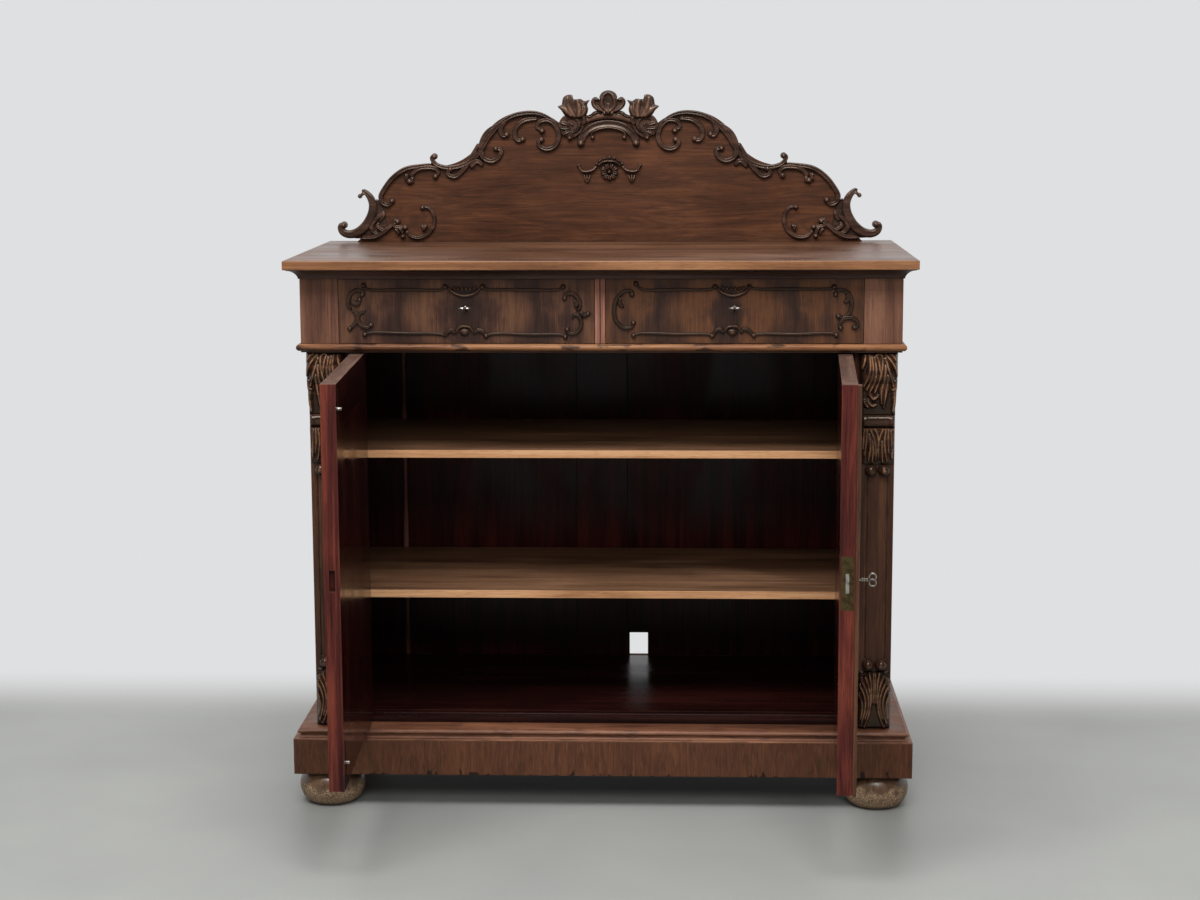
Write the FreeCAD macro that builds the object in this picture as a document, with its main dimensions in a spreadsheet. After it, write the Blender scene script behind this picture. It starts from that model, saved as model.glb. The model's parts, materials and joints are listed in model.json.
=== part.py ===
import FreeCAD, Part
import math
import os
import re
import Sketcher
from FreeCAD import Vector

# A chiffonier: a low cupboard with two doors, two frieze drawers and a carved gallery.
# X runs to the right, Y to the back and Z up. The origin is on the floor, at the middle
# of the space that the piece takes up with its doors standing open.

# Driving sizes, in millimetres and degrees
SIZES = {
    # feet and plinth
    "foot_height": 75,
    "foot_diameter": 140,
    "foot_base_diameter": 96,
    "foot_neck_diameter": 108,
    "foot_neck_height": 6,
    "foot_bulge_height": 39,
    "foot_lower_bend": 46,
    "foot_upper_bend": 38,
    "foot_side_inset": 72,
    "foot_front_inset": 67,
    "rear_foot_width": 82,
    "plinth_overhang": 45.5,
    "plinth_filler": 9.5,
    "plinth_height": 76,
    "plinth_board": 20,
    "plinth_block_width": 98,
    "plinth_block_depth": 110,
    "plinth_moulding_height": 25,
    "plinth_moulding_lip": 5,
    "plinth_moulding_step": 4,
    "plinth_moulding_run": 22,
    "plinth_moulding_bend": 20,
    # case
    "case_width": 1224,
    "case_depth": 530,
    "side_board": 20,
    "stile_width": 84,
    "stile_back_reveal": 2,
    "bottom_thickness": 19,
    "sill_height": 12,
    "dust_thickness": 18,
    "back_thickness": 18,
    "back_panel": 8,
    "back_panel_recess": 5,
    "back_stile": 138,
    "back_muntin": 118,
    "back_muntin_offset": -18,
    "back_rail": 130,
    "cutout_offset": 5,
    "cutout_width": 43,
    "cutout_height": 54,
    # shelves
    "shelf_thickness": 17,
    "shelf_front_gap": 20,
    "shelf_side_gap": 2,
    "lower_shelf_rise": 260,
    "upper_shelf_drop": 220,
    "cleat_width": 14,
    "cleat_height": 20,
    # pilasters with their carvings
    "pilaster_reveal": 14,
    "pilaster_thickness": 16,
    "pilaster_flute_margin": 12,
    "pilaster_flute_width": 4,
    "pilaster_flute_depth": 3,
    "corbel_height": 133,
    "corbel_toe": 6,
    "corbel_waist": 15,
    "corbel_bend": 133,
    "corbel_nose": 48,
    "corbel_nose_radius": 36,
    "neck_height": 26,
    "neck_reach": 12,
    "leaf_reach": 13,
    "leaf_root": 6,
    "capital_height": 76,
    "capital_bend": 91,
    "base_height": 121,
    "base_bend": 145,
    "ball_radius": 14,
    "ball_sink": 5,
    "ball_gap": 5,
    "carving_side_gap": 1,
    "corbel_side_reach": 4,
    # frieze and top
    "frieze_overhang": 10.5,
    "frieze_reach": 40,
    "frieze_height": 135,
    "frieze_board": 22,
    "block_width": 79.5,
    "divider_width": 22,
    "bead_height": 15,
    "bead_stand": 1.5,
    "cove_height": 21,
    "cove_reach": 24,
    "cove_lip": 3,
    "top_rail_depth": 62,
    "top_side_lip": 3.5,
    "top_front_lip": 24,
    "top_back_lip": 12,
    "top_thickness": 19,
    # gallery
    "gallery_side_inset": 35,
    "gallery_height": 341,
    "gallery_thickness": 20,
    "gallery_back_gap": 22,
    "crest_thickness": 18,
    "gallery_scroll_radius": 5,
    "corner_scroll_radius": 9,
    "rosette_radius": 20,
    # doors
    "door_height": 787,
    "door_thickness": 30,
    "door_edge_gap": 1,
    "door_meeting_gap": 2,
    "door_sill_gap": 2,
    "door_head_gap": 3,
    "door_stile": 72,
    "door_rail": 88,
    "door_panel": 20,
    "door_scroll_margin": 34,
    "door_scroll_curl": 50,
    "door_scroll_radius": 5,
    "left_door_open": 88,
    "right_door_open": 87,
    "astragal_seat": 12,
    "astragal_overlap": 8,
    "astragal_thickness": 7,
    "astragal_clearance": 0.4,
    # butt hinges
    "hinge_radius": 4.4,
    "hinge_face_gap": 0.6,
    "hinge_length": 76,
    "hinge_inset": 92,
    "hinge_leaf": 1.5,
    "hinge_leaf_margin": 8,
    "pin_radius": 2.2,
    "pin_clearance": 0.06,
    "knuckle_gap": 0.3,
    # flush bolts of the left door
    "bolt_radius": 4,
    "bolt_clearance": 0.3,
    "bolt_hole_clearance": 0.9,
    "bolt_length": 100,
    "bolt_throw": 12,
    "bolt_edge": 28,
    "bolt_inset": 8,
    "bolt_knob_radius": 3,
    "bolt_knob_reach": 7,
    "bolt_knob_drop": 50,
    "bolt_plate": 2,
    "bolt_plate_width": 18,
    "bolt_plate_length": 84,
    # door lock
    "lock_rise": 412,
    "lock_plate": 2,
    "lock_plate_margin": 3,
    "lock_plate_height": 103,
    "lock_case_length": 60,
    "lock_case_width": 14,
    "lock_case_height": 94,
    "lock_wall": 1.5,
    "lock_bolt_width": 7,
    "lock_bolt_height": 38,
    "lock_bolt_length": 24,
    "lock_clearance": 0.3,
    "lock_bit_gap": 5,
    "mortise_depth": 13,
    "mortise_margin": 2,
    # keys
    "key_shank_radius": 2.2,
    "key_hole_clearance": 0.5,
    "key_slot_side_clearance": 0.3,
    "key_slot_end_clearance": 2,
    "key_reach": 26,
    "key_ring_radius": 6.5,
    "key_wire_radius": 1.7,
    "key_bit_drop": 9,
    "key_bit_thickness": 2,
    "key_bit_length": 6,
    "key_bit_gap": 2.5,
    # drawers
    "drawer_gap": 1,
    "drawer_front": 20,
    "drawer_inset": 6,
    "drawer_side": 12,
    "drawer_side_drop": 16.7,
    "drawer_back_gap": 62,
    "drawer_bottom": 8,
    "drawer_bottom_rise": 6,
    "drawer_run_gap": 0.3,
    "drawer_guide_gap": 1,
    "drawer_guide_height": 25,
    "drawer_guide_width": 24,
    "drawer_scroll_radius": 3,
    "drawer_scroll_side": 19,
    "drawer_scroll_ends": 59,
    "drawer_scroll_top": 23,
    "drawer_scroll_bottom": 20,
    "drawer_scroll_tuck": 4,
    "drawer_scroll_bulge": 12,
    "drawer_shell_width": 72,
    "drawer_shell_height": 18,
    "drawer_lock_width": 60,
    "drawer_lock_height": 72,
    "drawer_bolt_space": 3,
    "drawer_lock_drop": 1,
    "drawer_bolt_width": 28,
    "drawer_bolt_thickness": 6,
    "drawer_bolt_height": 34,
    "drawer_bolt_throw": 8,
    "drawer_key_drop": 57,
}

# Places worked out from the driving sizes
PLACES = {
    "plinth_top": "foot_height + plinth_height",
    "case_bottom": "plinth_top + plinth_moulding_height",
    "sill_top": "case_bottom + sill_height",
    "stile_thickness": "door_thickness + stile_back_reveal",
    "floor_top": "case_bottom + bottom_thickness",
    "door_bottom": "sill_top + door_sill_gap",
    "door_top": "door_bottom + door_height",
    "dust_bottom": "door_top + door_head_gap",
    "frieze_bottom": "dust_bottom + dust_thickness",
    "frieze_top": "frieze_bottom + frieze_height",
    "top_bottom": "frieze_top + cove_height",
    "table_top": "top_bottom + top_thickness",
    "case_side": "case_width / 2",
    "case_inside": "case_side - side_board",
    "stile_edge": "case_side - stile_width",
    "pilaster_width": "stile_width - pilaster_reveal",
    "pilaster_edge": "case_side - pilaster_width",
    "pilaster_middle": "case_side - pilaster_width / 2",
    "frieze_side": "case_side + frieze_overhang",
    "top_side": "frieze_side + cove_reach + top_side_lip",
    "gallery_side": "top_side - gallery_side_inset",
    "block_edge": "frieze_side - block_width",
    "divider_edge": "divider_width / 2",
    "plinth_side": "case_side + plinth_overhang",
    "hinge_stand": "hinge_radius + hinge_face_gap",
    "hinge_leaf_width": "door_thickness - hinge_leaf_margin",
    "hinge_x": "stile_edge - door_edge_gap / 2",
    "door_start": "door_edge_gap / 2",
    "door_end": "hinge_x - door_meeting_gap / 2",
    "door_setback": "frieze_reach + cove_reach + top_front_lip",
    "door_reach": "door_end + astragal_overlap + hinge_stand - door_setback",
    "top_depth": "door_setback + case_depth + top_back_lip",
    "top_front": "(door_reach - top_depth) / 2",
    "top_back": "top_front + top_depth",
    "door_face": "top_front + door_setback",
    "plinth_face": "door_face - plinth_filler - plinth_overhang",
    "frieze_face": "door_face - frieze_reach",
    "pilaster_face": "door_face - pilaster_thickness",
    "hinge_y": "door_face - hinge_stand",
    "stile_back": "door_face + stile_thickness",
    "back_outside": "door_face + case_depth",
    "back_inside": "back_outside - back_thickness",
    "shelf_front": "stile_back + shelf_front_gap",
    "lower_shelf_top": "floor_top + lower_shelf_rise",
    "upper_shelf_top": "dust_bottom - upper_shelf_drop",
    "gallery_face": "top_back - gallery_back_gap - gallery_thickness",
    "door_front": "hinge_stand",
    "door_back": "hinge_stand + door_thickness",
    "door_panel_face": "door_back - door_panel",
    "door_panel_start": "door_start + door_stile",
    "door_panel_end": "door_end - door_stile",
    "door_panel_bottom": "door_bottom + door_rail",
    "door_panel_top": "door_top - door_rail",
    "lower_hinge": "door_bottom + hinge_inset",
    "upper_hinge": "door_top - hinge_inset - hinge_length",
    "bolt_place": "door_end - bolt_edge",
    "bolt_line": "door_back - bolt_inset",
    "lock_height": "door_bottom + lock_rise",
    "lock_middle": "door_front + door_thickness / 2",
    "lock_plate_width": "door_thickness - 2 * lock_plate_margin",
    "lock_backset": "lock_bolt_length + lock_bit_gap + key_bit_drop",
    "lock_case_end": "door_end - lock_plate",
    "lock_case_start": "lock_case_end - lock_case_length",
    "lock_case_front": "lock_middle - lock_case_width / 2",
    "lock_case_bottom": "lock_height - lock_case_height / 2",
    "door_key_place": "door_end - lock_backset",
    "key_hole_radius": "key_shank_radius + key_hole_clearance",
    "key_slot_width": "key_bit_thickness + 2 * key_slot_side_clearance",
    "key_slot_drop": "key_bit_drop + key_slot_end_clearance",
    "drawer_start": "divider_edge + drawer_gap",
    "drawer_end": "block_edge - drawer_gap",
    "drawer_middle": "(drawer_start + drawer_end) / 2",
    "drawer_front_bottom": "frieze_bottom + drawer_gap",
    "drawer_front_top": "frieze_top - drawer_gap",
    "drawer_front_back": "frieze_face + drawer_front",
    "drawer_box_start": "drawer_start + drawer_inset",
    "drawer_box_end": "drawer_end - drawer_inset",
    "drawer_box_bottom": "frieze_bottom + drawer_run_gap",
    "drawer_box_top": "frieze_top - drawer_side_drop",
    "drawer_box_back": "back_inside - drawer_back_gap",
    "drawer_lock_top": "drawer_front_top - drawer_lock_drop",
    "drawer_lock_bottom": "drawer_lock_top - drawer_lock_height",
    "drawer_lock_depth": "drawer_bolt_thickness + 2 * drawer_bolt_space",
    "drawer_lock_back": "drawer_front_back + drawer_lock_depth",
    "drawer_key_height": "drawer_front_top - drawer_key_drop",
    "drawer_bolt_line": "drawer_front_back + drawer_lock_depth / 2",
}

LEFT = -1
RIGHT = 1
SIDES = (LEFT, RIGHT)
SIDE_NAMES = {LEFT: "left", RIGHT: "right"}

document = FreeCAD.newDocument("chiffonier")
dims = document.addObject("Spreadsheet::Sheet", "dims")
for row, (alias, number) in enumerate(SIZES.items(), start=1):
    dims.set(f"A{row}", alias)
    dims.set(f"B{row}", str(number))
    dims.setAlias(f"B{row}", alias)
document.recompute()

nodes = {}


def formula(text):
    """Spell out a formula in sheet cells, with each worked-out place replaced by its own formula."""
    def spell(match):
        name = match.group(0)
        if name == "abs":
            return name
        if name in PLACES:
            return f"({formula(PLACES[name])})"
        return f"dims.{name}"
    return re.sub(r"[a-z][a-z_]*", spell, str(text))


def size(text):
    """The number that a formula comes to."""
    return float(dims.evalExpression(formula(text)))


def span(side, low, high):
    """A stretch of X on the right, or its mirror image on the left."""
    if side == RIGHT:
        return low, high
    return f"-({high})", f"-({low})"


def block(x, y, z):
    """A rectangular solid between three pairs of formulas."""
    solid = document.addObject("Part::Box", "block")
    for length, axis, (low, high) in zip(("Length", "Width", "Height"), "xyz", (x, y, z)):
        solid.setExpression(length, formula(f"({high}) - ({low})"))
        solid.setExpression(f"Placement.Base.{axis}", formula(low))
    return solid


TURN_TO_AXIS = {
    "x": FreeCAD.Rotation(Vector(0, 1, 0), 90),
    "y": FreeCAD.Rotation(Vector(1, 0, 0), -90),
    "z": FreeCAD.Rotation(),
}


def rod(axis, start, length, radius):
    """A round solid from a start point, along one axis."""
    solid = document.addObject("Part::Cylinder", "rod")
    solid.Placement = FreeCAD.Placement(Vector(), TURN_TO_AXIS[axis])
    solid.setExpression("Radius", formula(radius))
    solid.setExpression("Height", formula(length))
    for name, place in zip("xyz", start):
        solid.setExpression(f"Placement.Base.{name}", formula(place))
    return solid


def ball(centre, radius):
    solid = document.addObject("Part::Sphere", "ball")
    solid.setExpression("Radius", formula(radius))
    for name, place in zip("xyz", centre):
        solid.setExpression(f"Placement.Base.{name}", formula(place))
    return solid


def ring(centre, radius, wire, turn):
    """A closed ring of round wire."""
    solid = document.addObject("Part::Torus", "ring")
    solid.Placement = FreeCAD.Placement(Vector(), turn)
    solid.setExpression("Radius1", formula(radius))
    solid.setExpression("Radius2", formula(wire))
    for name, place in zip("xyz", centre):
        solid.setExpression(f"Placement.Base.{name}", formula(place))
    return solid


def cut(base, *tools):
    for tool in tools:
        result = document.addObject("Part::Cut", "cut")
        result.Base = base
        result.Tool = tool
        base = result
    return base


def fuse(*solids):
    result = document.addObject("Part::MultiFuse", "fuse")
    result.Shapes = list(solids)
    return result


def node(label, *solids, door=None):
    """Name a finished sub-part; solids that share a node stay separate, and a door's swing with it."""
    if len(solids) == 1 and door is None:
        result = solids[0]
    else:
        result = document.addObject("Part::Compound", label)
        result.Links = list(solids)
    if door is not None:
        result.Placement = FreeCAD.Placement(Vector(), FreeCAD.Rotation(Vector(0, 0, door), 0))
        result.setExpression("Placement.Base.x", formula(f"{door} * hinge_x"))
        result.setExpression("Placement.Base.y", formula("hinge_y"))
        result.setExpression("Placement.Rotation.Angle", formula(f"{SIDE_NAMES[door]}_door_open"))
    result.Label = label
    nodes[label] = result
    return result


def arc_between(start, end, radius):
    """The short arc from start to end, turning left with a positive radius, right with a negative one."""
    chord = end - start
    rise = math.sqrt(radius ** 2 - (chord.Length / 2) ** 2)
    left = Vector(-chord.y, chord.x, 0).normalize()
    centre = (start + end) * 0.5 + left * math.copysign(rise, radius)
    circle = Part.Circle(centre, Vector(0, 0, 1), abs(radius))
    first, last = (start, end) if radius > 0 else (end, start)
    return Part.ArcOfCircle(circle, circle.parameter(first), circle.parameter(last))


def sketch(body, role, *loops):
    """A sketch of closed loops. A corner is a pair of formulas, and a third one where an arc starts."""
    plane = next(item for item in body.Origin.OriginFeatures if item.Role == role)
    drawing = body.newObject("Sketcher::SketchObject", "sketch")
    drawing.AttachmentSupport = (plane, "")
    drawing.MapMode = "FlatFace"
    for corners in loops:
        points = [Vector(size(corner[0]), size(corner[1]), 0) for corner in corners]
        edges = []
        for start, end, corner in zip(points, points[1:] + points[:1], corners):
            if len(corner) == 2:
                edges.append((drawing.addGeometry(Part.LineSegment(start, end)), 1, 2))
                continue
            radius = size(corner[2])
            arc = drawing.addGeometry(arc_between(start, end, radius))
            edges.append((arc, 1, 2) if radius > 0 else (arc, 2, 1))
            bend = drawing.addConstraint(Sketcher.Constraint("Radius", arc, abs(radius)))
            drawing.setExpression(f"Constraints[{bend}]", formula(f"abs({corner[2]})"))
        for (edge, first, last), (after, after_first, after_last) in zip(edges, edges[1:] + edges[:1]):
            drawing.addConstraint(Sketcher.Constraint("Coincident", edge, last, after, after_first))
        for (edge, first, last), point, corner in zip(edges, points, corners):
            for kind, place, text in (("DistanceX", point.x, corner[0]), ("DistanceY", point.y, corner[1])):
                held = drawing.addConstraint(Sketcher.Constraint(kind, -1, 1, edge, first, place))
                drawing.setExpression(f"Constraints[{held}]", formula(text))
    return drawing


def place(body, x, y, z, turn=0):
    body.Placement = FreeCAD.Placement(Vector(), FreeCAD.Rotation(Vector(0, 0, 1), turn))
    for name, text in zip("xyz", (x, y, z)):
        body.setExpression(f"Placement.Base.{name}", formula(text))


def pad(body, drawing, length, side="One side"):
    feature = body.newObject("PartDesign::Pad", "pad")
    feature.Profile = drawing
    feature.SideType = side
    feature.setExpression("Length", formula(length))
    return feature


def strip(profile, reach, length, mitre_start, mitre_end):
    """A moulding along its own X that stands out towards its own -Y, with its ends mitred where asked."""
    body = document.addObject("PartDesign::Body", "strip")
    pad(body, sketch(body, "YZ_Plane", profile), length)
    corners = []
    if mitre_start:
        corners.append([("0", "0"), (reach, "0"), ("0", f"-({reach})")])
    if mitre_end:
        corners.append([(length, "0"), (length, f"-({reach})"), (f"({length}) - ({reach})", "0")])
    mitre = body.newObject("PartDesign::Pocket", "mitre")
    mitre.Profile = sketch(body, "XY_Plane", *corners)
    mitre.Type = "ThroughAll"
    mitre.SideType = "Symmetric"
    return body


def surround(profile, reach, half_width, face, back, bottom):
    """One moulding along a front and two along the sides, mitred at the corners."""
    outer = f"({half_width}) + ({reach})"
    front = strip(profile, reach, f"2 * ({outer})", True, True)
    place(front, f"-({outer})", face, bottom)
    run = f"({back}) - ({face}) + ({reach})"
    right = strip(profile, reach, run, True, False)
    place(right, half_width, f"({face}) - ({reach})", bottom, 90)
    left = strip(profile, reach, run, False, True)
    place(left, f"-({half_width})", back, bottom, -90)
    return front, right, left


def carved(profile, width, x, y, z):
    """A carved piece with one side profile, as wide as stated and centred on x."""
    body = document.addObject("PartDesign::Body", "carved")
    pad(body, sketch(body, "YZ_Plane", profile), width, "Symmetric")
    place(body, x, y, z)
    return body


def unit(vector):
    return vector * (1 / vector.Length)


def tangent_arc(start, heading, end):
    """The edge that leaves start along heading and ends at end: an arc, or a line where they agree."""
    chord = end - start
    side = Vector(-heading.z, 0, heading.x)
    offset = chord.dot(side)
    if abs(offset) < 1e-6 * chord.Length:
        return Part.LineSegment(start, end).toShape()
    radius = chord.dot(chord) / (2 * offset)
    turn = 2 * math.atan2(offset, chord.dot(heading))
    along = heading * math.sin(turn / 2) + side * (1 - math.cos(turn / 2))
    return Part.Arc(start, start + along * radius, end).toShape()


def smooth_path(points):
    """A smooth run of arcs through points of the X-Z plane, two arcs from each point to the next."""
    middle = []
    for before, here, after in zip(points, points[1:], points[2:]):
        arriving, leaving = here - before, after - here
        middle.append(unit(unit(arriving) * leaving.Length + unit(leaving) * arriving.Length))
    first_chord = unit(points[1] - points[0])
    last_chord = unit(points[-1] - points[-2])
    if not middle:
        return Part.Wire([Part.LineSegment(points[0], points[1]).toShape()])
    first = first_chord * (2 * first_chord.dot(middle[0])) - middle[0]
    last = last_chord * (2 * last_chord.dot(middle[-1])) - middle[-1]
    headings = [first] + middle + [last]
    edges = []
    for start, end, leave, arrive in zip(points, points[1:], headings, headings[1:]):
        gap = end - start
        both = leave + arrive
        spread = 2 * (1 - leave.dot(arrive))
        if spread < 1e-9:
            reach = gap.dot(gap) / (4 * gap.dot(arrive))
        else:
            reach = (math.sqrt(gap.dot(both) ** 2 + spread * gap.dot(gap)) - gap.dot(both)) / spread
        joint = (start + end + (leave - arrive) * reach) * 0.5
        edges.append(tangent_arc(start, leave, joint))
        back = tangent_arc(end, arrive * -1, joint)
        edges.append(back.reversed())
    return Part.Wire(Part.__sortEdges__(edges))


def scroll(points, radius, face):
    """A half-round moulding on the plane Y = face, along a smooth path through (x, z) points."""
    path = smooth_path([Vector(x, face, z) for x, z in points])
    start = path.OrderedVertexes[0].Point
    edge = path.OrderedEdges[0]
    low, high = edge.ParameterRange
    end_is_start = (edge.valueAt(low) - start).Length < 1e-6
    heading = edge.tangentAt(low) if end_is_start else edge.tangentAt(high) * -1
    across = Vector(-heading.z, 0, heading.x)
    bow = Part.Arc(start + across * radius, start + Vector(0, -radius, 0), start - across * radius)
    chord = Part.LineSegment(start - across * radius, start + across * radius)
    section = Part.Wire([bow.toShape(), chord.toShape()])
    return path.makePipeShell([section], True, False)


def mirrored(shapes):
    """Shapes with their mirror images across X = 0."""
    return shapes + [shape.mirror(Vector(), Vector(1, 0, 0)) for shape in shapes]


def outline(points, face, thickness):
    """A flat plate behind Y = face; its edge runs through (x, z) points: corner, arc middle or None, ..."""
    places = [point and Vector(point[0], face, point[1]) for point in points]
    corners = places[0::2]
    edges = []
    for start, middle, end in zip(corners, places[1::2], corners[1:] + corners[:1]):
        if middle is None:
            edges.append(Part.LineSegment(start, end).toShape())
        else:
            edges.append(Part.Arc(start, middle, end).toShape())
    return Part.Face(Part.Wire(edges)).extrude(Vector(0, thickness, 0))


def lobed_plate(points, face, thickness):
    """A flat plate behind Y = face, whose edge is one smooth closed curve through (x, z) points."""
    edge = Part.BSplineCurve()
    edge.interpolate([Vector(x, face, z) for x, z in points], PeriodicFlag=True)
    return Part.Face(Part.Wire(edge.toShape())).extrude(Vector(0, thickness, 0))


def feature(shapes):
    """A piece whose shape is drawn freely, as carvings are."""
    result = document.addObject("Part::Feature", "carving")
    result.Shape = shapes[0] if len(shapes) == 1 else Part.makeCompound(shapes)
    return result


# Feet: two turned buns in front, two plain blocks behind
def bun_foot(side):
    body = document.addObject("PartDesign::Body", "bun_foot")
    drawing = sketch(body, "XZ_Plane", [
        ("0", "0"),
        ("foot_base_diameter / 2", "0", "foot_lower_bend"),
        ("foot_diameter / 2", "foot_bulge_height", "foot_upper_bend"),
        ("foot_neck_diameter / 2", "foot_height - foot_neck_height"),
        ("foot_neck_diameter / 2", "foot_height"),
        ("0", "foot_height"),
    ])
    turned = body.newObject("PartDesign::Revolution", "turned")
    turned.Profile = drawing
    turned.ReferenceAxis = (drawing, ["V_Axis"])
    turned.Angle = 360
    place(body, f"{side} * (plinth_side - foot_side_inset)", "plinth_face + foot_front_inset", "0")
    return body


node("bun_feet", *[bun_foot(side) for side in SIDES])
node("rear_feet", *[
    block(
        span(side, "plinth_side - plinth_board - rear_foot_width", "plinth_side - plinth_board"),
        ("back_outside - plinth_board - rear_foot_width", "back_outside - plinth_board"),
        ("0", "foot_height"),
    )
    for side in SIDES
])

# Plinth: four boards round the foot blocks, and the moulding that the case stands in
plinth_rise = ("foot_height", "plinth_top")
plinth_inside = "plinth_side - plinth_board"
plinth_front_back = "plinth_face + plinth_board"
plinth_rear = "back_outside - plinth_board"
node(
    "plinth_boards",
    block(("-plinth_side", "plinth_side"), ("plinth_face", plinth_front_back), plinth_rise),
    block((f"-({plinth_inside})", plinth_inside), (plinth_rear, "back_outside"), plinth_rise),
    *[block(span(side, plinth_inside, "plinth_side"), (plinth_front_back, "back_outside"), plinth_rise)
      for side in SIDES],
)
plinth_block_x = (f"{plinth_inside} - plinth_block_width", plinth_inside)
node("plinth_blocks", *[
    block(span(side, *plinth_block_x), y, plinth_rise)
    for side in SIDES
    for y in (
        (plinth_front_back, f"{plinth_front_back} + plinth_block_depth"),
        (f"{plinth_rear} - plinth_block_depth", plinth_rear),
    )
])
ogee_start = "plinth_overhang - plinth_moulding_step"
ogee_middle = f"{ogee_start} - plinth_moulding_run / 2"
ogee_end = f"{ogee_start} - plinth_moulding_run"
plinth_profile = [
    ("0", "0"),
    ("-plinth_overhang", "0"),
    ("-plinth_overhang", "plinth_moulding_lip"),
    (f"-({ogee_start})", "plinth_moulding_lip", "-plinth_moulding_bend"),
    (f"-({ogee_middle})", "(plinth_moulding_lip + plinth_moulding_height) / 2", "plinth_moulding_bend"),
    (f"-({ogee_end})", "plinth_moulding_height"),
    ("0", "plinth_moulding_height"),
]
plinth_moulding_back = "plinth_face + plinth_overhang"
node(
    "plinth_moulding",
    *surround(plinth_profile, "plinth_overhang", "case_side", plinth_moulding_back, "back_outside",
              "plinth_top"),
    block(("-case_side", "case_side"), (plinth_moulding_back, "door_face"), ("plinth_top", "case_bottom")),
)

# Case: bottom with its sill, stiles, sides, dust board and back
case_rise = ("plinth_top", "dust_bottom")
hinge_levels = ("lower_hinge", "upper_hinge")
bolt_x = "bolt_place - hinge_x"
bolt_y = "hinge_y + bolt_line"
bolt_hole_radius = "bolt_radius + bolt_hole_clearance"
sill = block(("-stile_edge", "stile_edge"), ("door_face", "stile_back"), ("case_bottom", "sill_top"))
floor = block(("-case_inside", "case_inside"), ("stile_back", "back_inside"), ("case_bottom", "floor_top"))
node("bottom_board", cut(
    fuse(sill, floor),
    rod("z", (bolt_x, bolt_y, "case_bottom"), "sill_height", bolt_hole_radius),
))
node("front_stiles", *[
    cut(
        block(span(side, "stile_edge", "case_side"), ("door_face", "stile_back"), case_rise),
        *[block(
            span(side, "stile_edge", "stile_edge + hinge_leaf"),
            ("door_face", "door_face + hinge_leaf_width"),
            (level, f"{level} + hinge_length"),
        ) for level in hinge_levels],
    )
    for side in SIDES
])
node("side_boards", *[
    block(span(side, "case_inside", "case_side"), ("stile_back", "back_inside"), case_rise)
    for side in SIDES
])
node("dust_board", cut(
    block(("-frieze_side", "frieze_side"), ("frieze_face", "back_inside"), ("dust_bottom", "frieze_bottom")),
    rod("z", (bolt_x, bolt_y, "dust_bottom"), "bolt_throw + door_head_gap", bolt_hole_radius),
))
back_edge = "case_side - back_stile"
muntin_low = "back_muntin_offset - back_muntin / 2"
muntin_high = "back_muntin_offset + back_muntin / 2"
back_layer = ("back_inside", "back_outside")
back_rails = (("plinth_top", "floor_top"), ("frieze_top - back_rail", "frieze_top"))
back_opening = ("floor_top", "frieze_top - back_rail")
node(
    "back_frame",
    *[block(span(side, back_edge, "case_side"), back_layer, ("plinth_top", "frieze_top")) for side in SIDES],
    *[block((f"-({back_edge})", back_edge), back_layer, z) for z in back_rails],
    block((muntin_low, muntin_high), back_layer, back_opening),
)
cutout_start = f"{muntin_high} + cutout_offset"
panel_front = "back_inside + back_panel_recess"
panel_layer = (panel_front, f"{panel_front} + back_panel")
node(
    "back_panels",
    block((f"-({back_edge})", muntin_low), panel_layer, back_opening),
    cut(
        block((muntin_high, back_edge), panel_layer, back_opening),
        block((cutout_start, f"{cutout_start} + cutout_width"), panel_layer,
              ("floor_top", "floor_top + cutout_height")),
    ),
)

# Shelves on their cleats
for name in ("lower", "upper"):
    top = f"{name}_shelf_top"
    node(f"{name}_shelf", block(
        ("shelf_side_gap - case_inside", "case_inside - shelf_side_gap"),
        ("shelf_front", "back_inside"),
        (f"{top} - shelf_thickness", top),
    ))
node("shelf_cleats", *[
    block(
        span(side, "case_inside - cleat_width", "case_inside"),
        ("shelf_front", "back_inside"),
        (f"{name}_shelf_top - shelf_thickness - cleat_height", f"{name}_shelf_top - shelf_thickness"),
    )
    for side in SIDES
    for name in ("lower", "upper")
])

# Pilasters with corbel, capital and base carvings
pilaster_layer = ("pilaster_face", "door_face")
flute_levels = (
    "case_bottom + base_height + 2 * ball_radius",
    "dust_bottom - corbel_height - neck_height - capital_height - 2 * ball_radius",
)
node("pilasters", *[
    cut(
        block(span(side, "pilaster_edge", "case_side"), pilaster_layer, ("case_bottom", "dust_bottom")),
        *[block(
            span(side, start, f"{start} + pilaster_flute_width"),
            ("pilaster_face", "pilaster_face + pilaster_flute_depth"),
            flute_levels,
        ) for start in ("pilaster_edge + pilaster_flute_margin",
                        "case_side - pilaster_flute_margin - pilaster_flute_width")],
    )
    for side in SIDES
])
carving_width = "pilaster_width - 2 * carving_side_gap"
nose_start = "corbel_height - corbel_nose"
corbel_profile = [
    ("0", "0"),
    ("-corbel_toe", "0"),
    ("-corbel_toe", "corbel_toe", "corbel_bend"),
    ("-corbel_waist", nose_start, "-corbel_nose_radius"),
    ("-corbel_waist", "corbel_height"),
    ("0", "corbel_height"),
]
corbel_width = "pilaster_width + 2 * corbel_side_reach"
node("corbels", *[
    carved(corbel_profile, corbel_width, f"{side} * pilaster_middle", "pilaster_face",
           "dust_bottom - corbel_height")
    for side in SIDES
])


def leaf_profile(height, bend, bottom, top):
    """A leaf that swells from its root, between its reach at the bottom and at the top."""
    return [
        ("0", "0"),
        (f"-{bottom}", "0", f"-{bend}"),
        (f"-{top}", height),
        ("0", height),
    ]


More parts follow.
